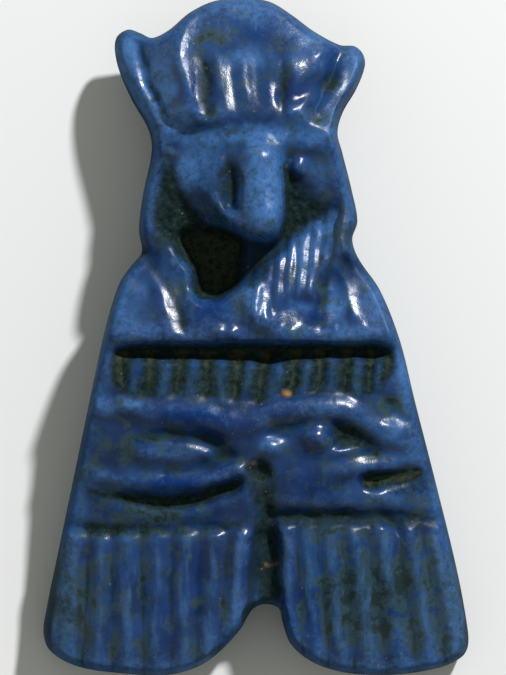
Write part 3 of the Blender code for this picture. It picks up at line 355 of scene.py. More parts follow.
STAINS = (
    Stain(0.4, ((-2, 9.5), (-1.75, 9.7), (-1.55, 9.3), (-1.45, 8.3), (-1.45, 7.7), (-1.85, 7.8)), 0.5),
    Stain(0.3, ((0.85, 9.5), (1, 9.6), (1.15, 9.2), (1.15, 8.4), (0.95, 7.9), (0.8, 8.4)), 0.4),
    Stain(0.5, ((2.3, 9), (2.7, 9.4), (2.95, 9), (2.75, 8.6), (2.4, 8.55)), 0.3),
    Stain(0.6, ((-1.45, 5.8), (-1.2, 6), (-0.7, 5.9), (-0.6, 5), (-0.7, 4.4), (-1.3, 4.5)), 0.4),
    Stain(0.5, ((-2.9, 2.9), (-2.5, 2.8), (-2.2, 2.2), (-2.3, 1.7), (-2.7, 2.1)), 0.3),
    Stain(0.4, ((-2, -2.35), (-0.8, -2.65), (-0.5, -2.4), (-1.8, -2.15)), 0.3),
    Stain(0.4, ((4.55, -4.9), (6.1, -4.7), (6.1, -5.45), (4.7, -5.55)), 0.36),
    Stain(0.5, ((-0.45, -4.4), (0.6, -4.4), (0.75, -6.4), (0.85, -9.3), (0.1, -9.3), (-0.1, -6.4),
          (-0.3, -5.1)), 0.45),
    Stain(0.4, ((-4.8, -0.5), (4.6, -0.5), (4.5, -0.95), (0.3, -1.15), (-4.7, -0.95)), 0.54),
    Stain(0.8, ((-2.2, 5), (-1.8, 5), (-1.3, 4.5), (-1, 4), (-1.6, 4), (-2.1, 4.4)), 0.4),
    Stain(0.4, ((-4.1, 3.1), (-3.8, 3), (-3, 2.1), (-2.5, 1.2), (-2.3, 0.2), (-2.7, 0.3), (-3.1, 1.5),
          (-3.7, 2.5)), 0.4),
    Stain(0.4, ((-6.3, -6.5), (-3, -6.55), (-0.5, -6.45), (-0.5, -6.78), (-3, -7.02), (-6.2, -7)), 0.38),
    Stain(0.4, ((0.7, -6.2), (4, -6.25), (6.4, -6.3), (6.4, -6.7), (4, -6.78), (0.8, -6.72)), 0.42),
    Stain(0.3, ((-0.35, 1.75), (0.35, 1.8), (0.6, 2.3), (0.7, 2.8), (0.4, 3), (-0.15, 2.5)), 0.36),
    Stain(0.4, ((2.1, 2.8), (2.5, 2.9), (2.55, 1.6), (2.35, 0.7), (2.15, 1.4)), 0.4),
)
DIRTY_AREAS = CHEST_AREAS + HEAD_AREAS + (HATCHED_BAND,) + EYE_AREAS + (WAIST_GROOVE,)

# ---------------- wings
SEAM_STROKES = (
    Stroke(0.5, -0.16, ((0.28, -4.9), (0.36, -5.8), (0.38, -6.9))),
    Stroke(0.75, -0.5, ((0.38, -6.2), (0.4, -7.6), (0.38, -8.8), (0.34, -9.7)), start=0.2),
)
LEFT_RIBS = Flutes(
    0.2, -11.4, -7,
    (-7.3, -6.1, -5.07, -3.95, -3, -2.08, -1.35, -0.6),
    (-6.95, -5.85, -5.05, -4.02, -2.93, -1.94, -0.95, -0.05),
)
RIGHT_RIBS = Flutes(
    0.22, -11.4, -7,
    (0.8, 1.65, 2.6, 3.45, 4.6, 5.7, 6.75, 7.6),
    (0.72, 1.45, 2.15, 3.05, 3.95, 5.05, 5.9, 7),
)
RIB_TOPS = (
    (-1.42, -7.02, 0.22, 0.2, 0.09), (-0.22, -7, 0.2, 0.2, 0.08), (-0.68, -7.45, 0.18, 0.2, 0.07),
    (-3.28, -8.18, 0.2, 0.18, 0.09), (-2.12, -10, 0.18, 0.18, 0.08), (3.42, -6.95, 0.2, 0.2, 0.08),
    (3.88, -6.75, 0.2, 0.2, 0.08), (4.44, -6.8, 0.2, 0.2, 0.08), (5.44, -6.88, 0.2, 0.2, 0.08),
    (6.4, -6.7, 0.2, 0.2, 0.08),
)
RIB_START_LEFT = (-7.1, -6.6)       # the ribs rise from nothing at the second y to full height at the first
RIB_START_RIGHT = (-7.3, -6.35)
LEFT_RIB_SHADING_END = (-0.2, 0.2)      # between these x the painted light and shade on the left wing's ribs fade away ...
RIGHT_RIB_SHADING_START = (0.5, 0.9)    # ... and between these the right wing's begin

# ---------------- hand work and wear
WARP = 0.045                # how far edges wander from their drawn line
WARP_LENGTH = 1.1
SWELL = 0.018               # height of the slow waves that hand polishing leaves
SWELL_LENGTH = 1.5
RIPPLE = 0.004              # the same, of short waves
RIPPLE_LENGTH = 0.45
ROUGHEN = 0.016             # extra unevenness inside the hollows, which were never polished
ROUGHEN_LENGTH = 0.30
ROUGHEN_DIRT = (0.2, 0.8)   # between these amounts of dirt that unevenness comes in
WAVE_COUNT = 9
WAVE_SPREAD = (0.6, 1.6)    # a wave's length, as a share of the length asked for
PIT_COUNT = 260
PIT_REACH = (7.5, 12.0)     # pits lie up to this far from the middle, along x and along y
PIT_RADIUS = (0.07, 0.20)
PIT_STRETCH = (0.5, 1.5)    # a pit's reach along y, as a share of its radius
PIT_DEPTH = (0.006, 0.025)
CLEAN_RIB_SHADING = (0.2, 0.6)  # between these amounts of dirt the painted light and shade on the wig's strands fade away
SEED = 11
POLISHED_FROM = 0.5         # in widths of the rounded rim, the polish begins here ...
POLISHED_TO = 1.6           # ... and is full here
MATT_SHARE = 0.9            # how much of the polish is missing in the matt patches
WALL_SLOPES = (0.7, 1.5)    # between these slopes the polish fades away
FADE = 0.35                 # share of a stroke over which it grows from its end
THIN_STROKE = 0.6           # width of a stroke where it has faded away, as a share of its full width
FLUTE_POWER = 0.8           # of a sine from groove to groove: below 1, a rib is fuller
HOLLOW_SPREADS = (4, 10, 20)    # how many faces away a place's surroundings reach
POLISH_ACROSS = 6           # times each place is evened with its neighbours left and right ...
POLISH_ALONG = 3            # ... and with those above and below


def soft_step(low, high, value):
    """0 before low, 1 after high, and a smooth rise between them."""
    t = np.clip((value - low) / (high - low), 0.0, 1.0)
    return t * t * (3.0 - 2.0 * t)


def between(start, end, share):
    """The value at some share of the way from start to end."""
    return start + (end - start) * share


def hermite(start, end, start_slope, end_slope, t):
    """Cubic from start to end, with the given slopes over a span of 1."""
    return (
        start * (2 * t**3 - 3 * t**2 + 1)
        + start_slope * (t**3 - 2 * t**2 + t)
        + end * (3 * t**2 - 2 * t**3)
        + end_slope * (t**3 - t**2)
    )


def profile(value, stations):
    """Height read from a smooth curve through (place, height) stations, level beyond both ends."""
    places, heights = np.array(stations).T
    slopes = np.gradient(heights, places)
    value = np.clip(value, places[0], places[-1])
    i = np.clip(np.searchsorted(places, value) - 1, 0, len(places) - 2)
    span = places[i + 1] - places[i]
    t = (value - places[i]) / span
    return hermite(heights[i], heights[i + 1], slopes[i] * span, slopes[i + 1] * span, t)


def curve_through(points, steps, closed):
    """Points along a smooth curve through the given points, with `steps` pieces between two of them."""
    points = np.array(points, dtype=float)
    before, after = (points[-1:], points[:2]) if closed else (points[:1], points[-1:])
    points = np.vstack((before, points, after))
    lengths = np.linalg.norm(np.diff(points, axis=0), axis=1)
    tangents = (points[2:] - points[:-2]) / (lengths[:-1] + lengths[1:])[:, None]
    curve = []
    for i, length in enumerate(lengths[1:-1]):
        slopes = (tangents[i] * length, tangents[i + 1] * length)
        curve += [hermite(points[i + 1], points[i + 2], *slopes, step / steps) for step in range(steps)]
    return np.array(curve if closed else curve + [points[-1]])


def nearest_on(x, y, path):
    """Distance from each (x, y) to the nearest place on an open path, and that place's share of the path."""
    lengths = np.linalg.norm(np.diff(path, axis=0), axis=1)
    starts = np.concatenate(((0.0,), np.cumsum(lengths)))
    nearest = np.full(np.shape(x), np.inf)
    share = np.zeros(np.shape(x))
    for (ax, ay), (bx, by), start, length in zip(path[:-1], path[1:], starts, lengths):
        dx = bx - ax
        dy = by - ay
        t = np.clip(((x - ax) * dx + (y - ay) * dy) / length**2, 0.0, 1.0)
        square = (x - ax - t * dx) ** 2 + (y - ay - t * dy) ** 2
        share = np.where(square < nearest, (start + t * length) / starts[-1], share)
        nearest = np.minimum(nearest, square)
    return np.sqrt(nearest), share


def is_inside(x, y, loop):
    """True inside a closed loop, where the way out to the right crosses its edge an odd number of times."""
    odd = np.zeros(np.shape(x), dtype=bool)
    for (ax, ay), (bx, by) in zip(loop[:-1], loop[1:]):
        if ay != by:
            crosses = ((ay > y) != (by > y)) & (x < ax + (y - ay) * (bx - ax) / (by - ay))
            odd ^= crosses
    return odd


def only_near(x, y, points, reach, work):
    """Run `work` on the places within reach of some points, and give 0 everywhere else."""
    low = np.min(points, axis=0) - reach
    high = np.max(points, axis=0) + reach
    near = (x >= low[0]) & (x <= high[0]) & (y >= low[1]) & (y <= high[1])
    result = np.zeros(np.shape(x))
    if near.any():
        result[near] = work(x[near], y[near])
    return result


def area_share(x, y, area):
    """1 inside an area, 0 outside it, and a smooth slope across its edge."""
    loop = curve_through(area.points, PATH_STEPS, closed=True)
    loop = np.vstack((loop, loop[:1]))

    def share(x, y):
        distance = nearest_on(x, y, loop)[0]
        signed = np.where(is_inside(x, y, loop), distance, -distance)
        return soft_step(-0.5 * area.edge, 0.5 * area.edge, signed)

    return only_near(x, y, loop, area.edge, share)


def area_level(x, y, area):
    """The level an area is cut to: it changes evenly from bottom to top, and leans to the right."""
    places = np.array(area.points)
    low, high = places[:, 1].min(), places[:, 1].max()
    return np.interp(y, (low, high), (area.bottom, area.top)) + area.lean * (x - places[:, 0].mean())


def rounded(distance, fullness=1.0):
    """1 at no distance and 0 from a distance of 1 on, round on top and soft at its foot."""
    t = np.clip(distance, 0.0, 1.0)
    return (1.0 - t ** (2.0 * fullness)) ** 2


def stroke_height(x, y, stroke):
    """Height that a ridge adds, or below zero what a groove takes away."""
    path = curve_through(stroke.points, PATH_STEPS, closed=False)

    def height(x, y):
        distance, share = nearest_on(x, y, path)
        strength = between(stroke.start, 1.0, soft_step(0.0, FADE, share))
        strength = strength * between(stroke.end, 1.0, soft_step(0.0, FADE, 1.0 - share))
        width = stroke.half_width * between(THIN_STROKE, 1.0, strength)
        return stroke.rise * strength * rounded(distance / width, stroke.fullness)

    return only_near(x, y, path, stroke.half_width, height)


def mound_height(x, y, mound):
    """Height of a round swelling with its own reach along x and y."""
    middle_x, middle_y, reach_x, reach_y, rise = mound
    return rise * rounded(np.hypot((x - middle_x) / reach_x, (y - middle_y) / reach_y))


def flute_height(x, y, flutes):
    """Ribs between grooves: 0 in each groove and the full rise on each rib's crest."""
    total = np.zeros(np.shape(x))
    along = (y - flutes.low_y) / (flutes.high_y - flutes.low_y)
    grooves = [between(low, high, along) for low, high in zip(flutes.low_grooves, flutes.high_grooves)]
    for left, right in zip(grooves[:-1], grooves[1:]):
        across = np.clip((x - left) / (right - left), 0.0, 1.0)
        total = total + flutes.rise * np.sin(np.pi * across) ** FLUTE_POWER
    return total


def within(y, low, high, fade):
    """1 between low and high, fading to 0 outside them."""
    return soft_step(low - fade, low, y) * (1.0 - soft_step(high, high + fade, y))


def waves(x, y, length, seed):
    """Slow random waves between about -1 and 1, with wave lengths near `length`."""
    random = np.random.default_rng(seed)
    total = np.zeros(np.shape(x))
    for _ in range(WAVE_COUNT):
        angle = random.uniform(0.0, 2.0 * np.pi)
        turns = 2.0 * np.pi / (length * random.uniform(*WAVE_SPREAD))
        phase = random.uniform(0.0, 2.0 * np.pi)
        total = total + np.sin(turns * (x * np.cos(angle) + y * np.sin(angle)) + phase)
    return total / np.sqrt(2.0 * WAVE_COUNT)


def pits(x, y):
    """Small dimples scattered over the stone."""
    random = np.random.default_rng(SEED + 5)
    total = np.zeros(np.shape(x))
    for _ in range(PIT_COUNT):
        place = [random.uniform(-reach, reach) for reach in PIT_REACH]
        radius = random.uniform(*PIT_RADIUS)
        pit = (*place, radius, radius * random.uniform(*PIT_STRETCH), -random.uniform(*PIT_DEPTH))
        total += only_near(x, y, [place], PIT_STRETCH[1] * radius, lambda x, y: mound_height(x, y, pit))
    return total


class Outline:
    """The amulet's outline: one smooth closed curve, and its four stretches."""

    def __init__(self):
        stretches = (LEFT_SIDE, CROWN_TOP, RIGHT_SIDE, WING_ENDS)
        curve = curve_through(sum(stretches, ()), CURVE_STEPS, closed=True)
        self.loop = np.vstack((curve, curve[:1]))
        ends = np.cumsum([0] + [len(stretch) * CURVE_STEPS for stretch in stretches])
        self.left, self.top, right, bottom = (self.loop[a:b + 1] for a, b in zip(ends[:-1], ends[1:]))
        self.right = right[::-1]
        self.bottom = bottom[::-1]

    def sides(self, y):
        """The x of the left side and of the right side at some y."""
        return [np.interp(y, side[:, 1], side[:, 0]) for side in (self.left, self.right)]


def body_height(x, y, outline):
    """The body before carving: a profile along the middle that falls away to both sides."""
    left, right = outline.sides(y)
    across = (x - 0.5 * (left + right)) / (0.5 * (right - left))
    fall = (1.0 - SLAB) * across**2 + SLAB * across**4
    return between(profile(y, MIDDLE_HEIGHT), profile(y, EDGE_HEIGHT), np.clip(fall, 0.0, 1.0))


def cut_areas(x, y, z, areas):
    """Cut each area to its own level, area after area."""
    for area in areas:
        z = between(z, area_level(x, y, area), area_share(x, y, area))
    return z


def soil_areas(x, y, areas):
    """How dirty each place gets when each area is soiled in turn."""
    result = np.zeros_like(x)
    for area in areas:
        result = between(result, area.dirt, area_share(x, y, area))
    return result


def raise_strokes(x, y, z, strokes, mounds):
    """Add ridges, grooves and swellings."""
    for stroke in strokes:
        z = z + stroke_height(x, y, stroke)
    for mound in mounds:
        z = z + mound_height(x, y, mound)
    return z


def head_and_chest(x, y, z):
    """Cut the crown, the falcon's face, the hood's lappets and the shoulders."""
    z = cut_areas(x, y, z, CROWN_AREAS + CHEST_AREAS)
    z = raise_strokes(x, y, z, CROWN_STROKES + CHEST_STROKES, CROWN_MOUNDS + CHEST_MOUNDS)
    z = z + area_share(x, y, RIGHT_LAPPET) * flute_height(x, y, LAPPET_FLUTES)
    z = cut_areas(x, y, z, HEAD_AREAS)
    return raise_strokes(x, y, z, HEAD_STROKES, HEAD_MOUNDS)


def hatching_and_eyes(x, y, z):
    """Cut the hatched band and the band of eyes."""
    z = cut_areas(x, y, z, (HATCHED_BAND,))
    z = z + area_share(x, y, HATCHED_BAND) * flute_height(x, y, HATCHING)
    z = cut_areas(x, y, z, EYE_AREAS)
    z = raise_strokes(x, y, z, EYE_STROKES, EYE_MOUNDS)
    return z + within(y, *EYE_FLUTES_SPAN, EYE_FLUTES_FADE) * flute_height(x, y, EYE_FLUTES)


def risen_ribs(y):
    """How far the ribs have risen at some y, on the left wing and on the right one."""
    return 1.0 - soft_step(*RIB_START_LEFT, y), 1.0 - soft_step(*RIB_START_RIGHT, y)


def wings(x, y, z):
    """Raise the ribs of both wings and cut the seam between them."""
    left, right = risen_ribs(y)
    z = z + left * flute_height(x, y, LEFT_RIBS) + right * flute_height(x, y, RIGHT_RIBS)
    return raise_strokes(x, y, z, SEAM_STROKES, RIB_TOPS)


def wandering(x, y):
    """Places moved a little at random, so that hand-cut edges wander from their drawn line."""
    return x + WARP * waves(x, y, WARP_LENGTH, SEED), y + WARP * waves(x, y, WARP_LENGTH, SEED + 1)


def dirt(x, y):
    """How dirty each place is."""
    x, y = wandering(x, y)
    return np.maximum(soil_areas(x, y, STAINS), soil_areas(x, y, DIRTY_AREAS))


def rim_share(x, y, outline):
    """0 on the outline, 1 where the rounded rim ends, and more beyond it."""
    return nearest_on(x, y, outline.loop)[0] / RIM_WIDTH


def carving(x, y, outline):
    """Height of the front as cut, before polishing and wear, and with sharp outer edges."""
    edge_x, edge_y = wandering(x, y)
    z = wings(edge_x, edge_y, body_height(x, y, outline))
    z = hatching_and_eyes(edge_x, edge_y, z)
    z = head_and_chest(edge_x, edge_y, z)
    return cut_areas(edge_x, edge_y, z, (WAIST_GROOVE,))


def evened(rows, times):
    """Rows of heights after some polishing: each place takes part of its two neighbours' height."""
    for _ in range(times):
        padded = np.pad(rows, ((0, 0), (1, 1)), mode="edge")
        rows = 0.25 * padded[:, :-2] + 0.5 * rows + 0.25 * padded[:, 2:]
    return rows


def relief(x, y, outline):
    """Height of the front above the back, rounded down to the widest line along the outline."""
    z = evened(carving(x, y, outline), POLISH_ACROSS)
    z = evened(z.T, POLISH_ALONG).T
    z = z + SWELL * waves(x, y, SWELL_LENGTH, SEED + 2) + RIPPLE * waves(x, y, RIPPLE_LENGTH, SEED + 3)
    uneven = ROUGHEN * soft_step(*ROUGHEN_DIRT, dirt(x, y))
    z = z + uneven * waves(x, y, ROUGHEN_LENGTH, SEED + 4) + pits(x, y)
    inwards = np.minimum(rim_share(x, y, outline), 1.0)
    return between(profile(y, WIDEST_LINE), z, np.sqrt(1.0 - (1.0 - inwards) ** 2))


def rib_light_and_shade_at(x, y):
    """0 in the grooves and 1 on the crests of ribs, strands and hatching, and 0.5 elsewhere, for painted
    sheen and shade.
    """
    x, y = wandering(x, y)
    result = np.full(x.shape, 0.5)
    left, right = risen_ribs(y)
    clean = 1.0 - soft_step(*CLEAN_RIB_SHADING, dirt(x, y))
    places = (
        (left * (1.0 - soft_step(*LEFT_RIB_SHADING_END, x)), LEFT_RIBS),
        (right * soft_step(*RIGHT_RIB_SHADING_START, x), RIGHT_RIBS),
        (area_share(x, y, RIGHT_LAPPET) * clean, LAPPET_FLUTES),
        (area_share(x, y, HATCHED_BAND), HATCHING),
    )
    for share, flutes in places:
        result = between(result, flute_height(x, y, flutes) / flutes.rise, share)
    return result


def shares_across(width, steps, both=True):
    """Places from 0 to 1 across a width: even, but closer together on the rims at both ends or at 1."""
    rim = RIM_WIDTH / width * (1.0 - np.cos(np.linspace(0.0, 0.5 * np.pi, RIM_STEPS + 1)))
    first = rim if both else rim[:0]
    even = np.linspace(rim[-1] if both else 0.0, 1.0 - rim[-1], steps + 1)[1:-1]
    return np.concatenate((first, even, 1.0 - rim[::-1]))


def bent_row(outline, share, line_y, edge):
    """One row between a straight line across the body and the outline's bent edge beyond it."""
    corners = edge[[0, -1]]
    ends_y = between(line_y, corners[:, 1], share)
    start, end = np.column_stack(([outline.sides(ends_y[i])[i] for i in (0, 1)], ends_y))
    u = shares_across(end[0] - start[0], COLUMNS)[:, None]
    line = between(*np.column_stack((outline.sides(line_y), (line_y, line_y))), u)
    chord = between(*corners, u)
    bent = np.column_stack((chord[:, 0], np.interp(chord[:, 0], *edge.T)))
    flat = (1 - share) * line + share * chord
    return (1 - share) * line + share * bent + (1 - u) * start + u * end - flat


def straight_row(outline, y):
    """One row straight across the body."""
    left, right = outline.sides(y)
    x = between(left, right, shares_across(right - left, COLUMNS))
    return np.column_stack((x, np.full(len(x), y)))


def front_rows(outline):
    """The grid of places (x, y) under the front, from the wing ends up to the crown's top edge."""
    shares = shares_across(WING_LINE - outline.bottom[0, 1], WING_ROWS, both=False)
    rows = [bent_row(outline, share, WING_LINE, outline.bottom) for share in shares[::-1]]
    start = WING_LINE
    for end, count in ROW_BANDS:
        rows += [straight_row(outline, y) for y in np.linspace(start, end, count + 1)[:-1]]
        start = end
    rows.append(straight_row(outline, CROWN_LINE))
    shares = shares_across(outline.top[0, 1] - CROWN_LINE, CROWN_ROWS, both=False)
    return np.array(rows + [bent_row(outline, share, CROWN_LINE, outline.top) for share in shares])


def around(grid):
    """The values on the border of a grid, once round, anticlockwise from its first corner."""
    return np.concatenate((grid[0, :-1], grid[:-1, -1], grid[-1, :0:-1], grid[:0:-1, 0]))


def inward_of(loop):
    """Directions at a right angle to a closed loop, towards its inside, steady over a short reach."""
    lengths = np.linalg.norm(np.roll(loop, -1, axis=0) - loop, axis=1)
    place = np.cumsum(lengths) - lengths
    ahead, behind = (
        np.array([np.interp(place + reach, place, row, period=lengths.sum()) for row in loop.T])
        for reach in (STEADY, -STEADY)
    )
    x, y = ahead - behind
    return np.column_stack((-y, x)) / np.hypot(x, y)[:, None]


def side_rings(border):
    """Rings from the widest line down and in to the flat back.

    The side is rounded like a quarter of an ellipse, but under the crown and its horns it runs straight
    in to the back, which ends well inside them, so that the horns stand clear of what the amulet lies on.
    """
    flat = border[:, :2]
    raised = soft_step(RAISED_FROM, RAISED_TO, flat[:, 1])
    back = flat + inward_of(flat) * UNDERCUT
    back[:, 0] *= 1.0 - BACK_NARROWING * raised
    back[:, 1] -= BACK_SHORTENING * raised
    rings = []
    for angle in np.linspace(0.0, 0.5 * np.pi, SIDE_STEPS + 1)[1:]:
        share = 1.0 - np.cos(angle)
        level = (1.0 - raised) * (1.0 - np.sin(angle)) + raised * (1.0 - share)
        rings.append(np.column_stack((between(flat, back, share), border[:, 2] * level)))
    return rings


def fit_to_box(points, low, high):
    """Scale and move points, in any unit, so that they fill a box exactly."""
    own_low = points.min(axis=0)
    own_high = points.max(axis=0)
    return low + (points - own_low) * ((high - low) / (own_high - own_low))


def hollowness(height):
    """How far each place of the front lies below its surroundings: below 0 on ridges."""
    result = np.zeros_like(height)
    for spread in HOLLOW_SPREADS:
        padded = np.pad(height, spread, mode="edge")
        total = np.cumsum(np.cumsum(padded, axis=0), axis=1)
        total = np.pad(total, ((1, 0), (1, 0)))
        size = 2 * spread + 1
        across = total[:, size:] - total[:, :-size]
        mean = (across[size:] - across[:-size]) / size**2
        result += (mean - height) / len(HOLLOW_SPREADS)
    return result


# ---------------- where the stone's colours, and some painted light, lie
# Each patch is a soft oval: x, y, reach along x, reach along y, strength.
DEEP_PATCHES = (
    (0.2, 10.6, 1.3, 0.4, 0.5), (2.5, 10, 0.5, 0.8, 0.7), (1.5, 8.7, 1.1, 0.5, 0.8),
    (-1.75, 8.6, 0.4, 1.3, 0.6), (0.2, 8.9, 0.3, 1.1, 0.4), (-1.6, 0.8, 1.1, 1, 1.3),
    (1.5, 1.05, 1.1, 0.8, 0.9), (2.35, 2.1, 0.4, 0.9, 1), (-4, 2.1, 0.5, 0.4, 0.6), (0, 0, 4.5, 0.3, 0.4),
    (-0.8, -3.1, 1.4, 0.8, 1.2), (-2.4, -2.8, 1.9, 0.55, 1.2), (0.7, -2.65, 1, 0.4, 0.8),
    (2.2, -3.4, 0.8, 0.7, 0.7), (1.5, -5, 1, 0.9, 0.8), (3.6, -4.95, 0.6, 0.5, 1),
    (-1, -5.1, 0.7, 0.4, 0.6), (-3, -5.15, 1.9, 0.5, 1.3), (-1.6, -6.4, 1.2, 0.6, 0.5),
    (-2.25, -8.1, 0.5, 1.7, 1), (-3.2, -10.2, 0.6, 1.9, 1), (-0.35, -8.2, 0.4, 1.6, 0.9),
    (-4.6, -8.3, 0.5, 0.9, 0.6), (-5.6, -11, 0.4, 1, 0.5), (-3.4, -7.4, 0.5, 0.8, 0.6),
    (1.3, -9.2, 0.4, 2.2, 0.8), (2.05, -10.2, 0.4, 1.6, 0.8), (2.6, -7.8, 0.5, 0.9, 0.6),
    (3.8, -7.5, 0.4, 0.8, 0.5), (4.95, -9.9, 0.4, 1.9, 0.6), (6.6, -7.2, 0.4, 0.7, 0.5),
)
GREEN_PATCHES = (
    (-3, 5, 0.7, 2.4, 0.7), (-1.7, 10.5, 0.7, 0.5, 0.9), (-0.7, 10.75, 0.6, 0.35, 0.5),
    (2.7, 8.85, 0.6, 0.4, 1), (1, 9.2, 0.3, 0.9, 0.5), (-1.8, 9.6, 0.3, 0.7, 0.6),
    (-1.6, 7.8, 0.4, 0.4, 0.6), (2.3, 7.5, 0.7, 0.35, 0.7), (-2.7, 1.6, 0.35, 1, 0.6),
    (2.3, 1.6, 0.3, 1, 0.5), (-0.6, 1.2, 0.3, 0.8, 0.5), (-3.2, 3.4, 0.7, 0.4, 0.5),
    (-2.5, -1.45, 2.9, 0.85, 0.5), (2.2, -1.4, 2.9, 0.8, 0.5), (0, -1.6, 1.3, 0.8, 0.5),
    (4.75, -2.35, 0.7, 0.7, 1), (3.3, -3.4, 0.8, 0.7, 1), (0.8, -3.2, 1, 0.4, 0.7),
    (3.9, -4.1, 0.9, 0.25, 0.8), (-3, -3.45, 1.7, 0.35, 0.8), (-4.6, -4, 0.45, 0.6, 0.8),
    (-1.2, -4, 0.5, 0.5, 0.6), (-5.3, -3.6, 0.5, 0.5, 0.4), (-5.5, -4.2, 0.8, 0.7, 0.5),
    (0.1, -4.75, 0.8, 0.7, 1), (0.35, -6, 0.6, 1.4, 0.7), (0.37, -8.4, 0.6, 1.7, 1),
    (-5.4, -6.8, 1.3, 0.4, 0.9), (-4.9, -5.65, 1.2, 0.4, 0.7), (-3, -4.65, 1.4, 0.3, 0.5),
    (-6.7, -9.4, 0.9, 2.3, 0.7), (-5.6, -9.6, 0.4, 0.5, 1), (-5.9, -10.4, 0.5, 0.7, 0.6),
    (-4, -8.6, 0.3, 1.3, 0.7), (-5.3, -7.9, 0.7, 0.4, 0.7), (-4.7, -9.3, 0.5, 0.5, 0.7),
    (-3, -9.9, 0.2, 0.9, 0.6), (-2.05, -9.3, 0.3, 1, 0.6), (-1.1, -9.4, 0.35, 1, 0.9),
    (-4, -11, 0.4, 0.9, 0.7), (-5.05, -11, 0.3, 0.9, 0.7), (-2.1, -11, 0.4, 0.5, 0.5),
    (6.3, -7.8, 0.5, 1.2, 0.7), (5.1, -8.5, 0.5, 1.1, 0.9), (4.3, -8.7, 0.4, 1.4, 0.8),
    (4.5, -10.4, 0.35, 1.4, 0.8), (3.3, -8.9, 0.6, 0.8, 0.9), (2.5, -9.9, 0.4, 1.3, 0.8),
    (1.6, -9.8, 0.3, 0.9, 0.9), (5.7, -10.4, 0.4, 1.5, 0.7), (6.7, -10.9, 0.5, 0.8, 0.8),
    (4, -9, 3.4, 2.8, 0.8), (-3.4, -6.2, 2.4, 0.5, 0.9), (-0.95, 5.4, 0.4, 1, 0.8),
    (2.6, -6.8, 1.8, 0.35, 0.8), (-3.7, -6.9, 2.9, 0.35, 0.7), (7.1, -10.9, 0.6, 1.1, 1),
    (3.6, -10.2, 0.9, 1, 0.6), (6.9, -9.3, 0.9, 2.5, 0.6), (-6.2, -9.2, 1.7, 3, 0.45),
    (5.8, -7.3, 0.3, 0.7, 0.6), (5.6, -6.3, 0.9, 0.3, 0.7), (2.2, -6.3, 1.8, 0.3, 0.8),
    (2.9, -5.3, 0.3, 0.5, 0.6), (4.1, -5.9, 0.4, 0.5, 0.4),
)
# Paler stone, and painted light as well: paler patches on walls turned away from the key, and painted
# highlight hazes along some edges.
PALE_AND_LIT_PATCHES = (
    (-1.9, 6.2, 1.2, 1.4, 0.8), (-2.5, 5.7, 0.4, 0.9, 1), (-0.3, 7.1, 5, 0.5, 1), (0.2, 5.2, 1.2, 2.4, 1.6),
    (-3.75, 5.5, 0.4, 2.4, 0.6), (3.35, 5.3, 0.4, 1.8, 0.6), (-4.4, 9.4, 0.8, 1.8, 1),
    (-4.5, 10.2, 0.6, 0.8, 0.9), (-3.3, 9, 0.9, 1.9, 1.2), (-2.8, 7.65, 0.8, 0.5, 1.3),
    (2.5, 4, 0.9, 0.6, 1.3), (-3.8, 8.2, 0.7, 1.1, 1), (3.5, 9.6, 0.6, 1.2, 0.8),
    (-0.2, 11.7, 2.6, 0.6, 0.6), (0.1, 11.3, 0.7, 0.4, 0.5), (2.1, 10.5, 0.9, 0.6, 0.5),
    (1.5, 9.8, 0.5, 0.7, 0.4), (-1.2, 9.2, 0.4, 0.9, 0.4), (-2.5, 9.8, 0.4, 1.4, 0.4),
    (-0.4, 9.8, 1.4, 0.6, 0.8), (-4.3, 1.2, 1.1, 1.6, 0.4), (4.1, 1.3, 0.8, 1.6, 0.6),
    (2.3, 5.7, 0.8, 0.9, 0.6), (2.8, 1.1, 0.5, 1, 1), (1.7, 3, 1.2, 1.4, 0.7), (1.5, 1.05, 0.7, 0.45, 0.7),
    (0, 1.3, 0.6, 1, 0.7), (3, 3.5, 0.5, 1.3, 0.6), (3.2, 0.2, 1.8, 0.3, 0.4), (5.25, -1.3, 0.45, 1.9, 1),
    (-5.5, -1.2, 0.5, 2.4, 0.6), (-4.4, -2.3, 0.8, 0.35, 1), (-5.3, -2.5, 0.6, 0.5, 0.6),
    (-3, -4, 1.3, 0.4, 0.3), (-5.4, -4.9, 0.6, 0.35, 0.5), (4.9, -3.1, 0.6, 0.4, 0.6),
    (5.5, -4.1, 0.7, 0.5, 0.5), (5, -5.7, 1.2, 0.35, 0.5), (0.5, -3.8, 0.8, 0.4, 0.5),
    (-6.2, -6, 0.5, 1.6, 0.5), (6.4, -5.8, 0.4, 1.5, 0.5), (7.2, -9.5, 0.4, 2, 0.6),
    (-7.2, -10.5, 0.5, 1.5, 0.4), (-3, -11.7, 3.5, 0.4, 0.4), (4.5, -11.7, 3, 0.4, 0.4),
    (-0.6, -9.8, 0.3, 1.2, 0.5), (-2.65, -9, 0.2, 1.8, 0.5),
)
RUST_SPOTS = (
    (1.06, -1.92, 0.24, 0.22, 1), (1.18, 6.25, 0.12, 0.1, 0.25), (1.05, 6.05, 0.1, 0.1, 0.25),
    (-1.15, 6.35, 0.14, 0.12, 0.4), (0.5, -8, 0.12, 0.12, 0.7), (0.2, -8.2, 0.12, 0.1, 0.6),
    (-0.1, -4.5, 0.2, 0.15, 0.3),
)
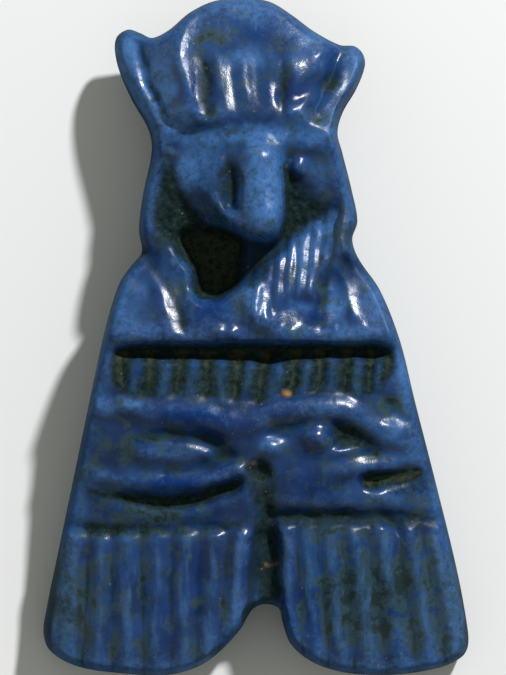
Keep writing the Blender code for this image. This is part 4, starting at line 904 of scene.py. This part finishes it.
# Here the stone is less polished.
MATT_PATCHES = (
    (-0.4, 7.15, 4.8, 0.8, 1), (-1.8, 5.9, 1.2, 1.6, 0.9), (0.2, 5.2, 1, 2, 0.7), (-1.3, -2.6, 1, 0.6, 0.9),
    (0.2, 10.9, 1.8, 0.9, 0.6), (2.2, 0.7, 0.6, 0.6, 0.9), (5.2, -5.35, 0.9, 0.4, 1),
    (2.2, -6.65, 2.6, 0.4, 1), (5.8, -6.6, 1, 0.35, 0.9), (1.8, 1.05, 0.9, 0.5, 0.8),
    (-1.98, 9, 0.42, 1.5, 1.8), (-0.6, 10, 1.2, 0.4, 0.8), (-4.2, -6.75, 2.6, 0.35, 0.8),
    (2.75, 0.35, 0.5, 0.4, 0.9), (-3, -5.15, 2, 0.5, 1.1), (-2.4, -2.75, 1.9, 0.5, 0.9),
    (-1.6, 1, 1, 0.6, 0.9), (-2.75, 2.4, 0.4, 0.5, 0.9), (-4.4, 1.1, 0.9, 1.2, 0.7), (3.7, -9, 3.8, 2.8, 1),
    (-3.2, -4, 1, 0.4, 0.6), (2.2, -5.3, 1.3, 0.7, 0.9), (-3, -6.2, 2.9, 0.5, 1.2),
    (-1.15, 4.7, 0.5, 0.6, 1), (2.1, -2.35, 0.45, 0.3, 0.8), (4.3, -4.3, 0.4, 0.25, 0.8),
)
PATCH_WARP = 0.16           # how far the patches' edges wander
PATCH_WARP_LENGTH = 0.9


def patch_share(x, y, patches):
    """How strongly a colour's patches cover each place, from 0 to 1."""
    x = x + PATCH_WARP * waves(x, y, PATCH_WARP_LENGTH, SEED + 6)
    y = y + PATCH_WARP * waves(x, y, PATCH_WARP_LENGTH, SEED + 7)
    return np.clip(sum(mound_height(x, y, patch) for patch in patches), 0.0, 1.0)


def steepness(x, y, height):
    """Slope of each place of the front, in any direction."""
    along_row, along_column = ([np.gradient(part, axis=axis) for part in (x, y, height)] for axis in (1, 0))
    (xi, yi, zi), (xj, yj, zj) = along_row, along_column
    area = xi * yj - xj * yi
    return np.hypot(zi * yj - zj * yi, zj * xi - zi * xj) / area


def add_object(name, data):
    """Put some data into the scene as an object."""
    item = bpy.data.objects.new(name, data)
    bpy.context.scene.collection.objects.link(item)
    return item


def keep(mesh, name, values, elsewhere=0.0):
    """Store one number for each point of the front, and another for the whole side and back."""
    every = np.full(len(mesh.vertices), elsewhere)
    every[:values.size] = values.ravel()
    mesh.attributes.new(name, "FLOAT", "POINT").data.foreach_set("value", every)


def join_faces(grid_shape, ring_count):
    """Faces of the front's grid, of the rings around its border, and of the back."""
    number = np.arange(grid_shape[0] * grid_shape[1]).reshape(grid_shape)
    corners = (number[:-1, :-1], number[:-1, 1:], number[1:, 1:], number[1:, :-1])
    faces = np.stack(corners, axis=-1).reshape(-1, 4).tolist()
    upper = around(number)
    for ring in range(ring_count):
        lower = np.arange(len(upper)) + number.size + ring * len(upper)
        faces += np.column_stack((np.roll(upper, -1), upper, lower, np.roll(lower, -1))).tolist()
        upper = lower
    return faces + [upper[::-1].tolist()]


def build_amulet():
    """One closed mesh: the carved front, the rounded side and the flat back."""
    outline = Outline()
    rows = front_rows(outline)
    x, y = rows[:, :, 0], rows[:, :, 1]
    height = relief(x, y, outline)
    front = np.dstack((rows, height))
    rings = side_rings(around(front))
    low, high = (np.array(corner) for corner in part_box("amulet"))
    points = fit_to_box(np.vstack([front.reshape(-1, 3)] + rings), low, high)
    mesh = bpy.data.meshes.new("amulet_stone")
    mesh.from_pydata(points, [], join_faces(height.shape, len(rings)))
    mesh.shade_smooth()

    inwards = rim_share(x, y, outline)
    walls = soft_step(*WALL_SLOPES, steepness(x, y, height))
    keep(mesh, "rim", 1.0 - np.minimum(inwards, 1.0), elsewhere=1.0)
    keep(mesh, "hollow", hollowness(height))
    keep(mesh, "dirt", dirt(x, y))
    keep(mesh, "rib_light_and_shade", rib_light_and_shade_at(x, y))
    keep(mesh, "polish", soft_step(POLISHED_FROM, POLISHED_TO, inwards) * (1.0 - walls))
    keep(mesh, "matt", MATT_SHARE * patch_share(x, y, MATT_PATCHES))
    keep(mesh, "rust", patch_share(x, y, RUST_SPOTS))
    keep(mesh, "deep", patch_share(x, y, DEEP_PATCHES))
    keep(mesh, "green", patch_share(x, y, GREEN_PATCHES))
    keep(mesh, "pale", patch_share(x, y, PALE_AND_LIT_PATCHES))
    return add_object("amulet_stone", mesh)


# ---------------- stone
DEEP_BLUE = (0.004, 0.024, 0.118, 1.0)
DARK_BLUE = (0.006, 0.023, 0.085, 1.0)
MID_BLUE = (0.010, 0.046, 0.150, 1.0)
PALE_BLUE = (0.052, 0.152, 0.372, 1.0)
GREEN_GREY = (0.026, 0.056, 0.070, 1.0)
DARK_GREEN = (0.011, 0.023, 0.023, 1.0)
GRIME = (0.034, 0.044, 0.023, 1.0)
SOOT = (0.004, 0.008, 0.007, 1.0)
ASH = (0.13, 0.16, 0.17, 1.0)
SPECK = (0.26, 0.20, 0.14, 1.0)
RUST = (0.30, 0.16, 0.06, 1.0)
ROUGHNESS = 0.225           # of clean, well polished stone
POLISH = 0.42               # strength of the polish's reflection
EDGE_POLISH = 0.03          # the same on the rim, the side and the back
GRAIN_HEIGHT = 0.03 * MM    # of the finest bumps


def set_inputs(node, inputs):
    """Join values to a node's inputs, or set them to plain numbers, vectors or colours."""
    for name, value in inputs.items():
        socket = node.inputs[name]
        if isinstance(value, Value):
            socket.id_data.links.new(value.socket, socket)
        else:
            socket.default_value = value


class Value:
    """What a new node gives at each place: a number, ready for plain sums, or a vector or a colour."""

    def __init__(self, tree, kind, output, inputs, **settings):
        node = tree.nodes.new(kind)
        for name, value in settings.items():
            setattr(node, name, value)
        set_inputs(node, inputs)
        self.tree = tree
        self.socket = node.outputs[output]

    def math(self, operation, first, second):
        return Value(self.tree, "ShaderNodeMath", "Value", {0: first, 1: second}, operation=operation)

    def __add__(self, other):
        return self.math("ADD", self, other)

    def __sub__(self, other):
        return self.math("SUBTRACT", self, other)

    def __rsub__(self, other):
        return self.math("SUBTRACT", other, self)

    def __mul__(self, other):
        return self.math("MULTIPLY", self, other)

    def ramp(self, low, high):
        """0 up to low and 1 from high on, also where high is the smaller, and smooth between them."""
        inputs = {"Value": self, "From Min": low, "From Max": high}
        return Value(self.tree, "ShaderNodeMapRange", "Result", inputs, interpolation_type="SMOOTHSTEP")


def attribute(tree, name):
    """A number kept on the mesh."""
    return Value(tree, "ShaderNodeAttribute", "Fac", {}, attribute_name=name)


def noise(tree, place, scale, detail, roughness, distortion=0.0):
    """Cloudy noise from 0 to 1."""
    inputs = {"Vector": place, "Scale": scale, "Detail": detail, "Roughness": roughness}
    return Value(tree, "ShaderNodeTexNoise", "Fac", {**inputs, "Distortion": distortion})


def stretched(tree, place, scale):
    """A place with each of its coordinates multiplied by its own scale."""
    return Value(tree, "ShaderNodeMapping", "Vector", {"Vector": place, "Scale": scale})


def mix(tree, share, first, second):
    """The first colour where the share is 0, the second where it is 1."""
    return Value(tree, "ShaderNodeMix", 2, {"Factor": share, 6: first, 7: second}, data_type="RGBA")


def stone_colour(tree, place, hollow):
    """Blues in clouds, green-grey mottling, specks and grime, with painted sheen on ridges and crests and
    painted shade in hollows and grooves.
    """
    clouds = noise(tree, place, 0.7, 4.0, 0.6, 0.4)
    mottle = noise(tree, place, 2.2, 6.0, 0.7, 0.3)
    flecks = noise(tree, place, 5.0, 5.0, 0.7)
    streaks = (noise(tree, stretched(tree, place, (2.4, 0.6, 1.0)), 1.0, 5.0, 0.65) - 0.5) * 1.6
    deep = attribute(tree, "deep") * mottle.ramp(0.25, 0.55)
    # paler stone, and painted light on walls turned away from the key
    pale = attribute(tree, "pale") * flecks.ramp(0.15, 0.6)
    green = attribute(tree, "green") * 0.27 + noise(tree, place, 1.9, 5.0, 0.72) - deep * 0.1
    # ridges: painted sheen, partly paler worn stone
    raised = (hollow * -1.0).ramp(0.02, 0.14) * flecks.ramp(0.3, 0.8) * (1.0 - deep)
    ash = flecks.ramp(0.6, 0.74) * green.ramp(0.45, 0.75)
    # crests get a painted sheen and grooves a painted shade, partly grime
    rib_light_and_shade = attribute(tree, "rib_light_and_shade") + streaks
    packed = attribute(tree, "dirt") * (0.5 - attribute(tree, "rib_light_and_shade"))
    dirt = attribute(tree, "dirt") + (streaks * 0.3 + (mottle - 0.5) * 0.7) + packed
    dirty = dirt.ramp(0.1, 0.62)
    cells = Value(tree, "ShaderNodeTexVoronoi", "Distance", {"Vector": place, "Scale": 2.6})
    specks = cells.ramp(0.1, 0.04) * mottle.ramp(0.5, 0.6)
    # each layer's share and colour, laid over those before it
    layers = (
        (deep * 0.9, DEEP_BLUE),
        # paler stone, and painted light
        (pale * 0.9, PALE_BLUE),
        (green.ramp(0.49, 0.68) * 0.92, GREEN_GREY),
        (green.ramp(0.67, 0.82) * 0.9, DARK_GREEN),
        # painted sheen on ridges, partly paler worn stone
        (raised * 0.6, PALE_BLUE),
        (ash * 0.5, ASH),
        # painted shade in recesses, partly grime
        (hollow.ramp(0.03, 0.18) * 0.7, DARK_GREEN),
        # painted sheen on the crests of ribs, strands and hatching, and painted shade in their grooves,
        # partly grime
        (rib_light_and_shade.ramp(0.75, 1.45) * 0.65, PALE_BLUE),
        ((1.0 - rib_light_and_shade).ramp(0.6, 1.15) * 0.85, DARK_GREEN),
        (dirty, DARK_GREEN),
        (dirt.ramp(0.66, 1.0), GRIME),
        (dirty * (flecks.ramp(0.52, 0.66) * 0.6), GREEN_GREY),
        (dirty * (flecks.ramp(0.5, 0.36) * 0.8), SOOT),
        # painted sheen: a green-grey tint on the rim, the side and the back, in place of their reflection of
        # the pale floor
        (attribute(tree, "rim") * 0.35, GREEN_GREY),
        (specks * 0.7, SPECK),
        (attribute(tree, "rust") * flecks.ramp(0.2, 0.5), RUST),
    )
    colour = mix(tree, clouds.ramp(0.36, 0.62), DARK_BLUE, MID_BLUE)
    for share, layer in layers:
        colour = mix(tree, share, colour, layer)
    return colour


def lapis_lazuli():
    """Polished lapis lazuli, dull and dirty in its hollows, with shade painted there too."""
    material = bpy.data.materials.new("lapis_lazuli_polished")
    material.use_nodes = True
    tree = material.node_tree
    metres = Value(tree, "ShaderNodeTexCoord", "Object", {})
    place = stretched(tree, metres, (1.0 / MM, 1.0 / MM, 1.0 / MM))
    hollow = attribute(tree, "hollow")
    dirt = attribute(tree, "dirt")
    polish = attribute(tree, "polish")
    dull = noise(tree, place, 1.3, 4.0, 0.6).ramp(0.35, 0.75) * 0.1 + ROUGHNESS
    dull = dull + hollow.ramp(0.0, 0.15) * 0.2 + dirt.ramp(0.1, 0.9) * 0.3 + (1.0 - polish) * 0.3
    clean = polish * dirt.ramp(0.6, 0.1) * hollow.ramp(0.07, 0.01) * (1.0 - attribute(tree, "matt"))
    grain = noise(tree, place, 7.0, 4.0, 0.65)
    bump = {"Height": grain, "Strength": 0.35, "Distance": GRAIN_HEIGHT}
    set_inputs(tree.nodes["Principled BSDF"], {
        "Base Color": stone_colour(tree, place, hollow),
        "Roughness": dull,
        "Specular IOR Level": clean * (POLISH - EDGE_POLISH) + EDGE_POLISH,
        "Normal": Value(tree, "ShaderNodeBump", "Normal", bump),
    })
    return material


# ---------------- studio, in metres
PAPER = (0.79, 0.80, 0.80, 1.0)
PAPER_ROUGHNESS = 0.9
FLOOR_SIZE = 0.6
KEY_AZIMUTH = 57.0          # degrees from +X towards +Y
KEY_HEIGHT = 40.0           # degrees above the floor
KEY_DISTANCE = 0.30
KEY_WIDTH = 0.022
KEY_POWER = 1.10
KEY_COLOUR = (0.99, 0.985, 1.0)
FILL = 0.31
FILL_COLOUR = (0.95, 0.97, 0.88, 1.0)
CAMERA_HEIGHT = 0.25
VIEW_HEIGHT = 23.79 * MM    # what the picture covers from top to bottom
VIEW_MIDDLE = (-0.106 * MM, 0.0)
VIEW_LEVEL = 3.0 * MM       # height above the floor at which it covers that much
SENSOR = 36.0


def build_floor():
    """A plain pale floor under the amulet."""
    half = 0.5 * FLOOR_SIZE
    mesh = bpy.data.meshes.new("floor")
    corners = [(-half, -half, 0), (half, -half, 0), (half, half, 0), (-half, half, 0)]
    mesh.from_pydata(corners, [], [(0, 1, 2, 3)])
    material = bpy.data.materials.new("pale_paper")
    material.use_nodes = True
    shader = material.node_tree.nodes["Principled BSDF"]
    set_inputs(shader, {"Base Color": PAPER, "Roughness": PAPER_ROUGHNESS})
    mesh.materials.append(material)
    floor = add_object("floor", mesh)


def build_lights():
    """A small key light from the upper right and a soft even fill."""
    azimuth = np.radians(KEY_AZIMUTH)
    height = np.radians(KEY_HEIGHT)
    data = bpy.data.lights.new("key", "AREA")
    data.shape = "DISK"
    data.size = KEY_WIDTH
    data.energy = KEY_POWER
    data.color = KEY_COLOUR
    key = add_object("key", data)
    key.location = (
        KEY_DISTANCE * np.cos(height) * np.cos(azimuth),
        KEY_DISTANCE * np.cos(height) * np.sin(azimuth),
        KEY_DISTANCE * np.sin(height),
    )
    key.rotation_euler = (0.5 * np.pi - height, 0.0, azimuth + 0.5 * np.pi)
    world = bpy.data.worlds.new("fill")
    world.use_nodes = True
    set_inputs(world.node_tree.nodes["Background"], {"Color": FILL_COLOUR, "Strength": FILL})
    bpy.context.scene.world = world


def build_camera():
    """Looks straight down on the lying amulet."""
    data = bpy.data.cameras.new("camera")
    data.sensor_fit = "VERTICAL"
    data.sensor_height = SENSOR
    data.sensor_width = SENSOR
    data.lens = SENSOR * (CAMERA_HEIGHT - VIEW_LEVEL) / VIEW_HEIGHT
    data.clip_start = 0.01
    data.clip_end = 10.0
    camera = add_object("camera", data)
    camera.location = (*VIEW_MIDDLE, CAMERA_HEIGHT)
    bpy.context.scene.camera = camera


amulet = build_amulet()
amulet.data.materials.append(lapis_lazuli())
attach(amulet, "root")
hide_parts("amulet")
build_floor()
build_lights()
build_camera()
bpy.context.scene.view_settings.view_transform = "Standard"
